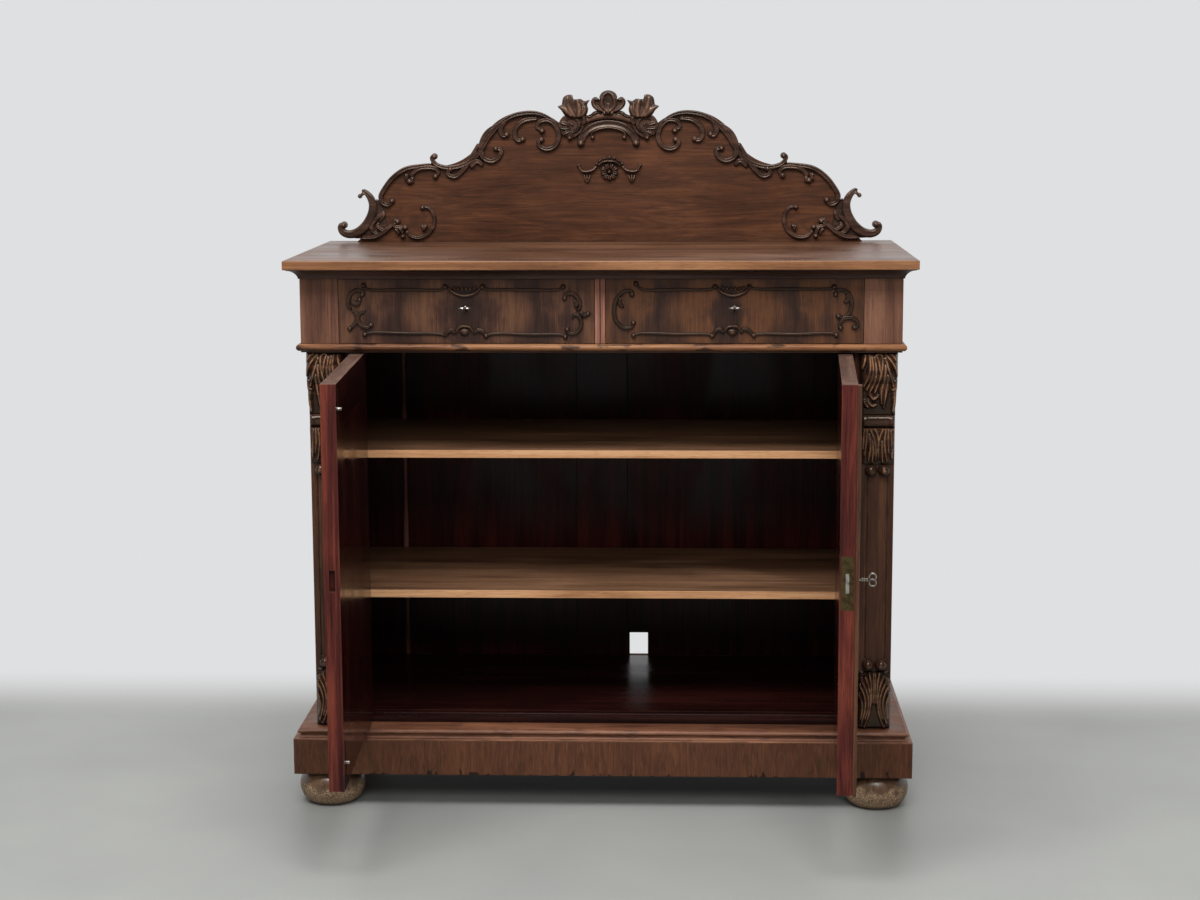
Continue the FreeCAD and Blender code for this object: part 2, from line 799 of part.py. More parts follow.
def ball_pair(side, level):
    """Two carved balls side by side, flat where they lie on the pilaster."""
    wall = block(
        span(side, "pilaster_edge", "case_side"),
        pilaster_layer,
        (f"{level} - ball_radius", f"{level} + ball_radius"),
    )
    return [
        cut(ball((f"{side} * pilaster_middle + {half} * (ball_radius + ball_gap / 2)",
                  "pilaster_face - ball_sink", level), "ball_radius"), wall)
        for half in SIDES
    ]


capital_profile = leaf_profile("capital_height", "capital_bend", "leaf_root", "leaf_reach")
base_profile = leaf_profile("base_height", "base_bend", "leaf_reach", "leaf_root")
neck_bottom = "dust_bottom - corbel_height - neck_height"
capital_bottom = f"{neck_bottom} - capital_height"
capitals = []
bases = []
for side in SIDES:
    middle = f"{side} * pilaster_middle"
    capitals.append(block(
        span(side, "pilaster_edge", "case_side"),
        ("pilaster_face - neck_reach", "pilaster_face"),
        (neck_bottom, f"{neck_bottom} + neck_height"),
    ))
    capitals.append(carved(capital_profile, carving_width, middle, "pilaster_face", capital_bottom))
    capitals.extend(ball_pair(side, f"{capital_bottom} - ball_radius"))
    bases.append(carved(base_profile, carving_width, middle, "pilaster_face", "case_bottom"))
    bases.extend(ball_pair(side, "case_bottom + base_height + ball_radius"))
node("capitals", *capitals)
node("bases", *bases)

# Frieze: end blocks, sides, divider, bead, and the guides that the drawers run between
frieze_rise = ("frieze_bottom", "frieze_top")
frieze_back = "frieze_face + frieze_board"
node("frieze_blocks", *[
    block(span(side, "block_edge", "frieze_side"), ("frieze_face", frieze_back), frieze_rise)
    for side in SIDES
])
node("frieze_sides", *[
    block(span(side, "frieze_side - side_board", "frieze_side"), (frieze_back, "back_inside"), frieze_rise)
    for side in SIDES
])
node("drawer_divider", block(("-divider_edge", "divider_edge"), ("frieze_face", frieze_back), frieze_rise))
guide_rise = ("frieze_bottom", "frieze_bottom + drawer_guide_height")
guide_run = (frieze_back, "back_inside")
middle_guide = "drawer_box_start - drawer_guide_gap"
side_guide = "drawer_box_end + drawer_guide_gap"
node(
    "drawer_guides",
    block((f"-({middle_guide})", middle_guide), guide_run, guide_rise),
    *[block(span(side, side_guide, f"{side_guide} + drawer_guide_width"), guide_run, guide_rise)
      for side in SIDES],
)
bead_round = "bead_height / 2"
bead_reach = f"bead_stand + {bead_round}"
bead_profile = [
    ("0", "0"),
    ("-bead_stand", "0", f"-({bead_round})"),
    (f"-({bead_reach})", bead_round, f"-({bead_round})"),
    ("-bead_stand", "bead_height"),
    ("0", "bead_height"),
]
node("frieze_bead", *surround(
    bead_profile, bead_reach, "frieze_side", "frieze_face", "back_inside", "frieze_bottom - bead_height",
))

# Top: rails over the drawers, cove moulding and the board itself
drawer_slot = "drawer_bolt_width / 2 + lock_clearance"
slot_depth = "drawer_bolt_thickness / 2 + lock_clearance"
rail_rise = ("frieze_top", "top_bottom")
front_rail_back = "frieze_face + top_rail_depth"
node(
    "top_rails",
    cut(
        block(("-frieze_side", "frieze_side"), ("frieze_face", front_rail_back), rail_rise),
        *[block(
            span(side, f"drawer_middle - ({drawer_slot})", f"drawer_middle + {drawer_slot}"),
            (f"drawer_bolt_line - ({slot_depth})", f"drawer_bolt_line + {slot_depth}"),
            ("frieze_top", "frieze_top + drawer_bolt_throw"),
        ) for side in SIDES],
    ),
    *[block(span(side, "frieze_side - top_rail_depth", "frieze_side"), (front_rail_back, "back_inside"),
            rail_rise) for side in SIDES],
    block(("-frieze_side", "frieze_side"), ("back_inside", "back_outside"), rail_rise),
)
cove_profile = [
    ("0", "0"),
    ("-cove_lip", "0"),
    ("-cove_lip", "cove_lip", "cove_reach"),
    ("-cove_reach", "cove_height - cove_lip"),
    ("-cove_reach", "cove_height"),
    ("0", "cove_height"),
]
node("top_moulding", *surround(
    cove_profile, "cove_reach", "frieze_side", "frieze_face", "back_outside", "frieze_top",
))
node("top_board", block(("-top_side", "top_side"), ("top_front", "top_back"), ("top_bottom", "table_top")))

# Gallery: a shaped board with applied carvings, drawn for its right half at this width and height
DRAWN_WIDTH = 1230
DRAWN_HEIGHT = 341


def gallery(points):
    """Drawn points at the gallery's own size, standing on the top."""
    wide = size("2 * gallery_side") / DRAWN_WIDTH
    tall = size("gallery_height") / DRAWN_HEIGHT
    return [point and (point[0] * wide, size("table_top") + point[1] * tall) for point in points]


def both_halves(points):
    """A closed edge from its right half, which starts at the bottom and ends on the middle line's arc."""
    left = [point and (-point[0], point[1]) for point in reversed(points[:-1])]
    return points + left + [None]


GALLERY_EDGE = [
    (580, 0), (557, 28), (541, 72), None,
    (524, 92), (484, 153), (409, 174), None,
    (403, 190), (396, 182), (393, 173), (346, 182),
    (291, 229), (190, 296), (106, 264), (0, 284),
]
GALLERY_SCROLLS = [
    [(148, 250), (163, 256), (160, 270), (139, 275), (119, 258), (119, 228), (137, 210), (158, 217),
     (157, 230)],
    [(158, 279), (189, 277), (211, 258), (212, 236), (199, 230)],
    [(236, 280), (246, 262), (238, 252)],
    [(250, 270), (278, 248), (291, 217), (282, 189), (258, 189), (246, 207), (257, 218)],
    [(304, 224), (322, 189), (344, 162), (364, 158), (368, 172)],
    [(398, 152), (394, 162), (412, 171), (459, 170), (499, 146), (524, 109), (519, 88), (502, 90)],
    [(424, 85), (403, 71), (398, 46), (410, 24), (434, 14), (450, 22)],
]
CREST_ARCH = [(68, 222), (56, 247), (30, 265), (0, 272), (-30, 265), (-56, 247), (-68, 222)]
CORNER_SCROLL = [(562, 115), (544, 103), (540, 78), (551, 42), (579, 17), (606, 20), (605, 38)]
CREST_LEAF = [
    (46, 278), (40, 290), (52, 300), (46, 318), (60, 328), (72, 336), (84, 326),
    (95, 334), (103, 322), (112, 312), (106, 300), (109, 288), (98, 277), (72, 273),
]
CREST_PALMETTE = [
    (-24, 284), (-33, 291), (-26, 300), (-38, 312), (-24, 320), (-20, 333), (-9, 334),
    (0, 341), (9, 334), (20, 333), (24, 320), (38, 312), (26, 300), (33, 291), (24, 284), (0, 281),
]
ROSETTE_WING = [(14, 182), (30, 172), (48, 157), (66, 160), (70, 172)]
ROSETTE_ARCH = [(34, 176), (20, 192), (0, 199), (-20, 192), (-34, 176)]
ROSETTE_CENTRE = (0, 158)

gallery_face = size("gallery_face")
crest_thickness = size("crest_thickness")
crest_front = gallery_face - crest_thickness
thin_scroll = size("gallery_scroll_radius")
gallery_edge = gallery(both_halves(GALLERY_EDGE))
node("gallery_board", feature([outline(gallery_edge, gallery_face, size("gallery_thickness"))]))
node("gallery_scrolls", feature(
    mirrored([scroll(gallery(points), thin_scroll, gallery_face) for points in GALLERY_SCROLLS])
    + [scroll(gallery(CREST_ARCH), thin_scroll, gallery_face)]
))
node("gallery_corner_scrolls", feature(mirrored([
    scroll(gallery(CORNER_SCROLL), size("corner_scroll_radius"), gallery_face)
])))
node("gallery_crest", feature(
    mirrored([lobed_plate(gallery(CREST_LEAF), crest_front, crest_thickness)])
    + [lobed_plate(gallery(CREST_PALMETTE), crest_front, crest_thickness)]
))
flower_x, flower_z = gallery([ROSETTE_CENTRE])[0]
forward = Vector(0, -1, 0)
flower = Part.makeSphere(size("rosette_radius"), Vector(flower_x, gallery_face, flower_z), forward, 0, 90)
node("gallery_rosette", feature(
    [flower, scroll(gallery(ROSETTE_ARCH), thin_scroll, gallery_face)]
    + mirrored([scroll(gallery(ROSETTE_WING), thin_scroll, gallery_face)])
))


# Drawers
def key(start, along, bow_turn, label, door=None):
    """A key whose shank comes out of the lock along -Y, with a bow of two rings and a hanging bit."""
    x, y, z = start
    tip = f"({y}) + ({along})"
    bow_place = f"({y}) - key_reach - key_ring_radius"
    shank = rod("y", (x, f"({y}) - key_reach", z), f"key_reach + ({along})", "key_shank_radius")
    bit = block(
        (f"({x}) - key_bit_thickness / 2", f"({x}) + key_bit_thickness / 2"),
        (f"{tip} - key_bit_length", tip),
        (f"({z}) - key_bit_drop", z),
    )
    rings = []
    for half in (-1, 1):
        offset = f"{half} * (key_ring_radius - key_wire_radius / 2)"
        if bow_turn == "flat":
            centre = (f"({x}) + {offset}", bow_place, z)
            turn = FreeCAD.Rotation()
        else:
            centre = (x, bow_place, f"({z}) + {offset}")
            turn = FreeCAD.Rotation(Vector(0, 1, 0), 90)
        rings.append(ring(centre, "key_ring_radius", "key_wire_radius", turn))
    return node(label, fuse(shank, bit, *rings), door=door)


def keyhole(x, y, z, depth):
    """The round hole for a key's shank with the slot below for its bit."""
    return [
        rod("y", (x, y, z), depth, "key_hole_radius"),
        block(
            (f"({x}) - key_slot_width / 2", f"({x}) + key_slot_width / 2"),
            (y, f"({y}) + ({depth})"),
            (f"({z}) - key_slot_drop", z),
        ),
    ]


# The shell in the middle of a drawer's top line, and the curl on its bottom line, in half widths and heights
DRAWER_SHELL = [(-1, 0.2), (-0.6, -0.45), (0, -0.8), (0.6, -0.45), (1, 0.2)]
DRAWER_CURL = [(1.45, 0.2), (1, 0.7), (0.5, 0.2)]


def drawer_carving(middle):
    """Scrolled lines along the top and bottom of a drawer front, joined by a C at each end."""
    half = (size("drawer_end") - size("drawer_start")) / 2
    far = half - size("drawer_scroll_side")
    near = half - size("drawer_scroll_ends")
    top = size("drawer_front_top - drawer_scroll_top")
    low = size("drawer_front_bottom + drawer_scroll_bottom")
    quarter = (top - low) / 4
    tuck = size("drawer_scroll_tuck")
    bulge = far - size("drawer_scroll_bulge")
    shell_half = size("drawer_shell_width / 2")
    shell_height = size("drawer_shell_height")
    shell = [(x * shell_half, top + z * shell_height) for x, z in DRAWER_SHELL]
    curl = [(x * shell_half, low + z * shell_height) for x, z in DRAWER_CURL]
    rights = [
        [(shell_half, top), (near, top)],
        [(curl[0][0], low), (near, low)],
        curl,
        [(near + tuck, top - tuck), (bulge, top - quarter), (far, top - 2 * quarter), (bulge, low + quarter),
         (near + tuck, low + 2 * tuck)],
    ]
    radius = size("drawer_scroll_radius")
    face = size("frieze_face")
    shapes = mirrored([scroll(points, radius, face) for points in rights]) + [scroll(shell, radius, face)]
    return [shape.translated(Vector(middle, 0, 0)) for shape in shapes]


def drawer(side):
    name = f"{SIDE_NAMES[side]}_drawer"
    middle = f"{side} * drawer_middle"
    front = block(span(side, "drawer_start", "drawer_end"), ("frieze_face", "drawer_front_back"),
                  ("drawer_front_bottom", "drawer_front_top"))
    node(f"{name}_front", cut(front, *keyhole(middle, "frieze_face", "drawer_key_height", "drawer_front")))
    box_rise = ("drawer_box_bottom", "drawer_box_top")
    inside = ("drawer_box_start + drawer_side", "drawer_box_end - drawer_side")
    back = "drawer_box_back - drawer_side"
    floor_low = "drawer_box_bottom + drawer_bottom_rise"
    floor_high = f"{floor_low} + drawer_bottom"
    run = ("drawer_front_back", "drawer_box_back")
    node(
        f"{name}_box",
        block(span(side, "drawer_box_start", inside[0]), run, box_rise),
        block(span(side, inside[1], "drawer_box_end"), run, box_rise),
        block(span(side, *inside), (back, "drawer_box_back"), (floor_high, box_rise[1])),
        block(span(side, *inside), run, (floor_low, floor_high)),
    )
    node(f"{name}_carving", feature(drawer_carving(size(middle))))
    half_case = "drawer_lock_width / 2"
    half_bolt = "drawer_bolt_width / 2"
    bolt_y_low = "drawer_bolt_line - drawer_bolt_thickness / 2"
    bolt_y_high = "drawer_bolt_line + drawer_bolt_thickness / 2"
    node(f"{name}_lock_case", cut(
        block((f"{middle} - {half_case}", f"{middle} + {half_case}"),
              ("drawer_front_back", "drawer_lock_back"),
              ("drawer_lock_bottom", "drawer_lock_top")),
        block((f"{middle} - {half_case} + lock_wall", f"{middle} + {half_case} - lock_wall"),
              ("drawer_front_back", "drawer_lock_back - lock_wall"),
              ("drawer_lock_bottom + lock_wall", "drawer_lock_top - lock_wall")),
        block((f"{middle} - {half_bolt} - lock_clearance", f"{middle} + {half_bolt} + lock_clearance"),
              (f"{bolt_y_low} - lock_clearance", f"{bolt_y_high} + lock_clearance"),
              ("drawer_lock_top - lock_wall", "drawer_lock_top")),
    ))
    node(f"{name}_lock_bolt", block(
        (f"{middle} - {half_bolt}", f"{middle} + {half_bolt}"),
        (bolt_y_low, bolt_y_high),
        ("drawer_lock_top - drawer_bolt_height", "drawer_lock_top"),
    ))
    key((middle, "frieze_face", "drawer_key_height"), "drawer_front + key_bit_gap + key_bit_length", "flat",
        f"{name}_key")


for side in SIDES:
    drawer(side)


# Doors are drawn about their hinge line: X along the door from the hinge, Y from the hinge line to the back.
# The scrolled corner of a door's moulding, from its corner, in shares of the curl's size
DOOR_CORNER = [(-1, -0.2), (-0.5, 0.04), (-0.12, -0.12), (0.04, -0.5), (-0.2, -1)]


def door_carving(side):
    """A scrolled frame on the outer face of a door's panel."""
    margin = size("door_scroll_margin")
    start = size("door_panel_start") + margin
    end = size("door_panel_end") - margin
    low = size("door_panel_bottom") + margin
    high = size("door_panel_top") - margin
    middle_x = (start + end) / 2
    middle_z = (low + high) / 2
    half_x = (end - start) / 2
    half_z = (high - low) / 2
    curl = size("door_scroll_curl")
    face = size("door_panel_face")
    quarter = [
        [(0, half_z), (half_x - curl, half_z)],
        [(half_x, 0), (half_x, half_z - curl)],
        [(half_x + x * curl, half_z + z * curl) for x, z in DOOR_CORNER],
    ]
    shapes = []
    for points in quarter:
        for flip_x in (1, -1):
            for flip_z in (1, -1):
                turned = [(middle_x + x * flip_x, middle_z + z * flip_z) for x, z in points]
                shapes.append(scroll(turned, size("door_scroll_radius"), face))
    if side == RIGHT:
        shapes = [shape.mirror(Vector(), Vector(1, 0, 0)) for shape in shapes]
    return shapes


def along(side, low, high):
    """A stretch along a door from its hinge."""
    return span(-side, low, high)


def hinge_half(leaf_x, leaf_y, level, knuckle_stretches, centre):
    """One half of a butt hinge: a leaf and its knuckles, bored for the pin."""
    centre_x, centre_y = centre
    solids = [block(leaf_x, leaf_y, (level, f"{level} + hinge_length"))]
    for low, high in knuckle_stretches:
        start = f"{level} + {low}"
        solids.append(block(leaf_x, (centre_y, leaf_y[0]), (start, f"{level} + {high}")))
        solids.append(rod("z", (centre_x, centre_y, start), f"({high}) - ({low})", "hinge_radius"))
    bore = rod("z", (centre_x, centre_y, level), "hinge_length", "pin_radius + pin_clearance")
    return cut(fuse(*solids), bore)


third = "hinge_length / 3"
frame_knuckles = (("0", third), (f"2 * {third}", "hinge_length"))
door_knuckles = ((f"{third} + knuckle_gap", f"2 * {third} - knuckle_gap"),)
frame_leaf_y = ("door_face", "door_face + hinge_leaf_width")
node("hinge_frame_leaves", *[
    hinge_half(span(side, "stile_edge", "stile_edge + hinge_leaf"), frame_leaf_y, level, frame_knuckles,
               (f"{side} * hinge_x", "hinge_y"))
    for side in SIDES
    for level in hinge_levels
])
node("hinge_pins", *[
    rod("z", (f"{side} * hinge_x", "hinge_y", level), "hinge_length", "pin_radius")
    for side in SIDES
    for level in hinge_levels
])


def door_frame(side, *end_cuts):
    """Two stiles and two rails; end_cuts come out of the stile at the meeting edge."""
    depth = ("door_front", "door_back")
    rise = ("door_bottom", "door_top")
    hinge_stile = cut(
        block(along(side, "door_start", "door_panel_start"), depth, rise),
        *[block(along(side, "door_start", "door_start + hinge_leaf"),
                ("door_front", "door_front + hinge_leaf_width"),
                (level, f"{level} + hinge_length")) for level in hinge_levels],
    )
    end_stile = cut(block(along(side, "door_panel_end", "door_end"), depth, rise), *end_cuts)
    rails = [
        block(along(side, "door_panel_start", "door_panel_end"), depth, z)
        for z in (("door_bottom", "door_panel_bottom"), ("door_panel_top", "door_top"))
    ]
    node(f"{SIDE_NAMES[side]}_door_frame", hinge_stile, end_stile, *rails, door=side)


def door(side, *end_cuts):
    name = f"{SIDE_NAMES[side]}_door"
    door_frame(side, *end_cuts)
    node(f"{name}_panel", block(
        along(side, "door_panel_start", "door_panel_end"),
        ("door_panel_face", "door_back"),
        ("door_panel_bottom", "door_panel_top"),
    ), door=side)
    node(f"{name}_carving", feature(door_carving(side)), door=side)
    leaf_x = along(side, "door_start", "door_start + hinge_leaf")
    leaf_y = ("door_front", "door_front + hinge_leaf_width")
    node(f"{name}_hinge_leaves", *[
        hinge_half(leaf_x, leaf_y, level, door_knuckles, ("0", "0"))
        for level in hinge_levels
    ], door=side)


# Left door with its flush bolts and the mortise for the lock's bolt
plate_face = "door_back - bolt_plate"
knob_slot = "(bolt_knob_radius + bolt_clearance)"
flush_bolts = {
    "top": ("door_top - bolt_length", "door_top", "door_top - bolt_knob_drop", 1),
    "bottom": ("door_bottom", "door_bottom + bolt_length", "door_bottom + bolt_knob_drop", -1),
}
mortise_half_width = "lock_bolt_width / 2 + mortise_margin"
mortise_half_height = "lock_bolt_height / 2 + mortise_margin"
left_cuts = [block(
    ("door_end - mortise_depth", "door_end"),
    (f"lock_middle - ({mortise_half_width})", f"lock_middle + {mortise_half_width}"),
    (f"lock_height - ({mortise_half_height})", f"lock_height + {mortise_half_height}"),
)]
bolt_plates = []
for name, (low, high, knob, direction) in flush_bolts.items():
    slot_z = (
        (f"{knob} - {knob_slot}", f"{knob} + bolt_throw + {knob_slot}")
        if direction > 0
        else (f"{knob} - bolt_throw - {knob_slot}", f"{knob} + {knob_slot}")
    )
    slot_x = (f"bolt_place - {knob_slot}", f"bolt_place + {knob_slot}")
    plate_x = ("bolt_place - bolt_plate_width / 2", "bolt_place + bolt_plate_width / 2")
    plate_z = (f"{knob} - bolt_plate_length / 2", f"{knob} + bolt_plate_length / 2")
    left_cuts += [
        rod("z", ("bolt_place", "bolt_line", low), "bolt_length", "bolt_radius + bolt_clearance"),
        block(slot_x, ("bolt_line", plate_face), slot_z),
        block(plate_x, (plate_face, "door_back"), plate_z),
    ]
    bolt_plates.append(cut(
        block(plate_x, (plate_face, "door_back"), plate_z),
        block(slot_x, (plate_face, "door_back"), slot_z),
    ))
    node(f"flush_bolt_{name}", fuse(
        rod("z", ("bolt_place", "bolt_line", low), "bolt_length", "bolt_radius"),
        rod("y", ("bolt_place", "bolt_line", knob), "bolt_inset + bolt_knob_reach", "bolt_knob_radius"),
    ), door=LEFT)
door(LEFT, *left_cuts)
node("left_door_bolt_plates", *bolt_plates, door=LEFT)

# Right door with its lock and the strip that covers the meeting edges
lock_case_x = along(RIGHT, "lock_case_start", "lock_case_end")
lock_case_y = ("lock_case_front", "lock_case_front + lock_case_width")
lock_case_z = ("lock_case_bottom", "lock_case_bottom + lock_case_height")
lock_plate_x = along(RIGHT, "lock_case_end", "door_end")
lock_plate_y = ("lock_middle - lock_plate_width / 2", "lock_middle + lock_plate_width / 2")
lock_plate_z = ("lock_height - lock_plate_height / 2", "lock_height + lock_plate_height / 2")
door_key_x = "-door_key_place"
door(
    RIGHT,
    block(lock_case_x, lock_case_y, lock_case_z),
    block(lock_plate_x, lock_plate_y, lock_plate_z),
    *keyhole(door_key_x, "door_front", "lock_height", "lock_case_front - door_front"),
)
lock_bolt_y = ("lock_middle - lock_bolt_width / 2", "lock_middle + lock_bolt_width / 2")
lock_bolt_z = ("lock_height - lock_bolt_height / 2", "lock_height + lock_bolt_height / 2")
node("right_door_lock_case", cut(
    fuse(block(lock_case_x, lock_case_y, lock_case_z), block(lock_plate_x, lock_plate_y, lock_plate_z)),
    block(
        along(RIGHT, "lock_case_start + lock_wall", "lock_case_end"),
        ("lock_case_front + lock_wall", "lock_case_front + lock_case_width - lock_wall"),
        ("lock_case_bottom + lock_wall", "lock_case_bottom + lock_case_height - lock_wall"),
    ),
    block(
        lock_plate_x,
        (f"{lock_bolt_y[0]} - lock_clearance", f"{lock_bolt_y[1]} + lock_clearance"),
        (f"{lock_bolt_z[0]} - lock_clearance", f"{lock_bolt_z[1]} + lock_clearance"),
    ),
    *keyhole(door_key_x, "lock_case_front", "lock_height", "lock_wall"),
), door=RIGHT)
node("right_door_lock_bolt", block(
    along(RIGHT, "door_end - lock_bolt_length", "door_end"), lock_bolt_y, lock_bolt_z,
), door=RIGHT)
key((door_key_x, "door_front", "lock_height"), "lock_middle - door_front + key_bit_length / 2", "upright",
    "right_door_key", door=RIGHT)
astragal_front = "door_front - astragal_thickness"
node("right_door_astragal", fuse(
    block(along(RIGHT, "door_end - astragal_seat", "door_end"), (astragal_front, "door_front"),
          ("door_bottom", "door_top")),
    block(along(RIGHT, "door_end", "door_end + astragal_overlap"),
          (astragal_front, "door_front - astragal_clearance"), ("door_bottom", "door_top")),
), door=RIGHT)

# Build, check and write every sub-part
document.recompute()
for item in document.Objects:
    if "Invalid" in item.State or "Error" in item.State:
        raise RuntimeError(f"{item.Label} failed: {item.State}")
for label, item in nodes.items():
    if item.Shape.isNull() or not item.Shape.isValid() or not item.Shape.Solids:
        raise RuntimeError(f"{label} has no sound shape")
os.makedirs("parts", exist_ok=True)
for label, item in nodes.items():
    item.Shape.exportStep(f"parts/{label}.step")
print(len(nodes), "sub-parts written")
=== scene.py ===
import json
import math

import bmesh
import bpy
import numpy as np
from mathutils import Matrix, Vector

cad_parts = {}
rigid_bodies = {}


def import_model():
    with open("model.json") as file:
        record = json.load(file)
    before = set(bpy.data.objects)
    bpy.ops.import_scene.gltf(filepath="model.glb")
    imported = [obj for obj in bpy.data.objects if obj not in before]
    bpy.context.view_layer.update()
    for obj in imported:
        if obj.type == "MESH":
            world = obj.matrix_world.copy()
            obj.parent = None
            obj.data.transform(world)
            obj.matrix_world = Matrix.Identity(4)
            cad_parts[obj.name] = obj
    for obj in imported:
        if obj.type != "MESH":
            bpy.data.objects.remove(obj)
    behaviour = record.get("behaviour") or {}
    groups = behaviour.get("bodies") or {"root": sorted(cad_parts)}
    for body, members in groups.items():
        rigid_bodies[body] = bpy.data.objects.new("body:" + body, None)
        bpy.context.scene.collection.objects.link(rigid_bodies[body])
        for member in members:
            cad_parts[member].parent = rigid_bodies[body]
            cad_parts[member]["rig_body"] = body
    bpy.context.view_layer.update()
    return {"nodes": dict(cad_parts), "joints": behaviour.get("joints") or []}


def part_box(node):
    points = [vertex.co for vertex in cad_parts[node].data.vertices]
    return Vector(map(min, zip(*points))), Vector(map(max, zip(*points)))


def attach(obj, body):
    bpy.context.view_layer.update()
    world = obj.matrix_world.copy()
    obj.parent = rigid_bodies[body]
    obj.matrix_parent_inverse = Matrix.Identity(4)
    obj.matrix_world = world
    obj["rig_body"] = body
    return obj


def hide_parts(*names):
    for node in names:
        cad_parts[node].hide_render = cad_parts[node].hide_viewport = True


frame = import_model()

MM = 0.001

# Places read from the frame, in metres
TABLE_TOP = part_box("top_board")[1].z
TABLE_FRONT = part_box("top_board")[0].y
GALLERY_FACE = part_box("gallery_board")[0].y
PILASTER_LOW, PILASTER_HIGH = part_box("pilasters")
CORBEL_LOW, CORBEL_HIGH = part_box("corbels")
CAPITAL_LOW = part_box("capitals")[0]
BASE_LOW, BASE_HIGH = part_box("bases")
JOINTS = {joint["name"]: joint for joint in frame["joints"]}
SIDES = {"left": -1, "right": 1}


def add_object(name, data):
    thing = bpy.data.objects.new(name, data)
    bpy.context.scene.collection.objects.link(thing)
    return thing


# Camera, as the photograph was taken: lens as a share of the picture's width, place and tilt
FOCAL_SHARE = 2227.77 / 1200
SENSOR = 36.0
CAMERA_PLACE = Vector((0.1755, TABLE_FRONT - 4.531, 1.5128))
YAW, PITCH, ROLL = (math.radians(angle) for angle in (-2.21, 9.138, 0.222))


def add_camera():
    data = bpy.data.cameras.new("camera")
    data.sensor_width = SENSOR
    data.lens = SENSOR * FOCAL_SHARE
    camera = add_object("camera", data)
    tilt = Matrix.Rotation(math.pi / 2 - PITCH, 4, "X") @ Matrix.Rotation(-ROLL, 4, "Z")
    camera.matrix_world = Matrix.Translation(CAMERA_PLACE) @ Matrix.Rotation(-YAW, 4, "Z") @ tilt
    bpy.context.scene.camera = camera


# Materials
def tone(red, green, blue):
    """A colour as seen on a screen, 0 to 255, as the linear colour that shaders use."""
    shares = (value / 255 for value in (red, green, blue))
    linear = [s / 12.92 if s <= 0.04045 else ((s + 0.055) / 1.055) ** 2.4 for s in shares]
    return (*linear, 1.0)


def tones(*shades):
    return [tone(*shade) for shade in shades]


class Shader:
    """The node tree of a material or world, with short calls for the nodes that the finishes share."""

    def __init__(self, owner, surface="Principled BSDF"):
        self.owner = owner
        self.owner.use_nodes = True
        self.tree = self.owner.node_tree
        self.surface = self.tree.nodes[surface]

    def feed(self, socket, value):
        if isinstance(value, bpy.types.NodeSocket):
            self.tree.links.new(value, socket)
        else:
            socket.default_value = value

    def add(self, kind, inputs=None, **settings):
        node = self.tree.nodes.new("ShaderNode" + kind)
        for key, value in settings.items():
            setattr(node, key, value)
        for key, value in (inputs or {}).items():
            self.feed(node.inputs[key], value)
        return node

    def finish(self, **inputs):
        for key, value in inputs.items():
            self.feed(self.surface.inputs[key.replace("_", " ").title().replace("Ior", "IOR")], value)
        return self.owner

    def attribute(self, name, output="Vector"):
        return self.add("Attribute", attribute_name=name).outputs[output]

    def place(self):
        """Where a point lies on its object, in metres."""
        return self.add("TexCoord").outputs["Object"]

    def parts(self, vector):
        return self.add("SeparateXYZ", {0: vector}).outputs

    def math(self, operation, first, second=0.0):
        return self.add("Math", {0: first, 1: second}, operation=operation).outputs[0]

    def times(self, first, second):
        return self.math("MULTIPLY", first, second)

    def largest(self, first, *others):
        for other in others:
            first = self.math("MAXIMUM", first, other)
        return first

    def total(self, *pairs):
        """The sum of values, each given with its weight."""
        first, *others = [self.times(*pair) for pair in pairs]
        for other in others:
            first = self.math("ADD", first, other)
        return first

    def rays(self, *kinds):
        """One for rays of these kinds, such as Camera, and nothing for others."""
        path = self.add("LightPath").outputs
        return self.largest(*[path[f"Is {kind} Ray"] for kind in kinds])

    def noise(self, place, stretch, detail=3.0, distortion=0.0, roughness=0.5):
        scaled = self.add("VectorMath", {0: place, 1: stretch}, operation="MULTIPLY").outputs[0]
        inputs = {"Vector": scaled, "Scale": 1.0, "Detail": detail, "Roughness": roughness,
                  "Distortion": distortion}
        return self.add("TexNoise", inputs).outputs["Fac"]

    def remap(self, value, low, high, to_low=0.0, to_high=1.0):
        inputs = {0: value, 1: low, 2: high, 3: to_low, 4: to_high}
        return self.add("MapRange", inputs, interpolation_type="SMOOTHSTEP").outputs[0]

    def ramp(self, value, *stops):
        node = self.add("ValToRGB", {"Fac": value})
        points = node.color_ramp.elements
        while len(points) < len(stops):
            points.new(0.5)
        for point, (place, colour) in zip(points, stops):
            point.position = place
            point.color = colour
        return node.outputs["Color"]

    def mix(self, share, first, second, blend="MIX"):
        node = self.add("Mix", data_type="RGBA", blend_type=blend)
        self.feed(node.inputs["Factor"], share)
        self.feed(node.inputs[6], first)
        self.feed(node.inputs[7], second)
        return node.outputs[2]

    def edges(self, radius):
        """One along the edges of a piece, and nothing on its faces."""
        rounded = self.add("Bevel", {"Radius": radius}, samples=4).outputs["Normal"]
        facing = self.add("NewGeometry").outputs["Normal"]
        turned = self.add("VectorMath", {0: rounded, 1: facing}, operation="DOT_PRODUCT").outputs["Value"]
        return self.remap(turned, 0.985, 0.85)

    def shaded_hollows(self, distance):
        """One deep in corners and cracks, where shade falls and dirt gathers, and nothing where the air
        reaches.
        """
        openness = self.add("AmbientOcclusion", {"Distance": distance}, samples=6).outputs["AO"]
        return self.remap(openness, 0.75, 0.25)

    # Darkens a colour towards near-black in corners and cracks: painted shade, with some dirt
    def shaded_and_soiled(self, colour, distance, share):
        return self.mix(self.times(self.shaded_hollows(distance), share), colour, SOOT_AND_SHADE)

    def bump(self, height, strength, distance):
        inputs = {"Height": height, "Strength": strength, "Distance": distance}
        return self.add("Bump", inputs).outputs["Normal"]


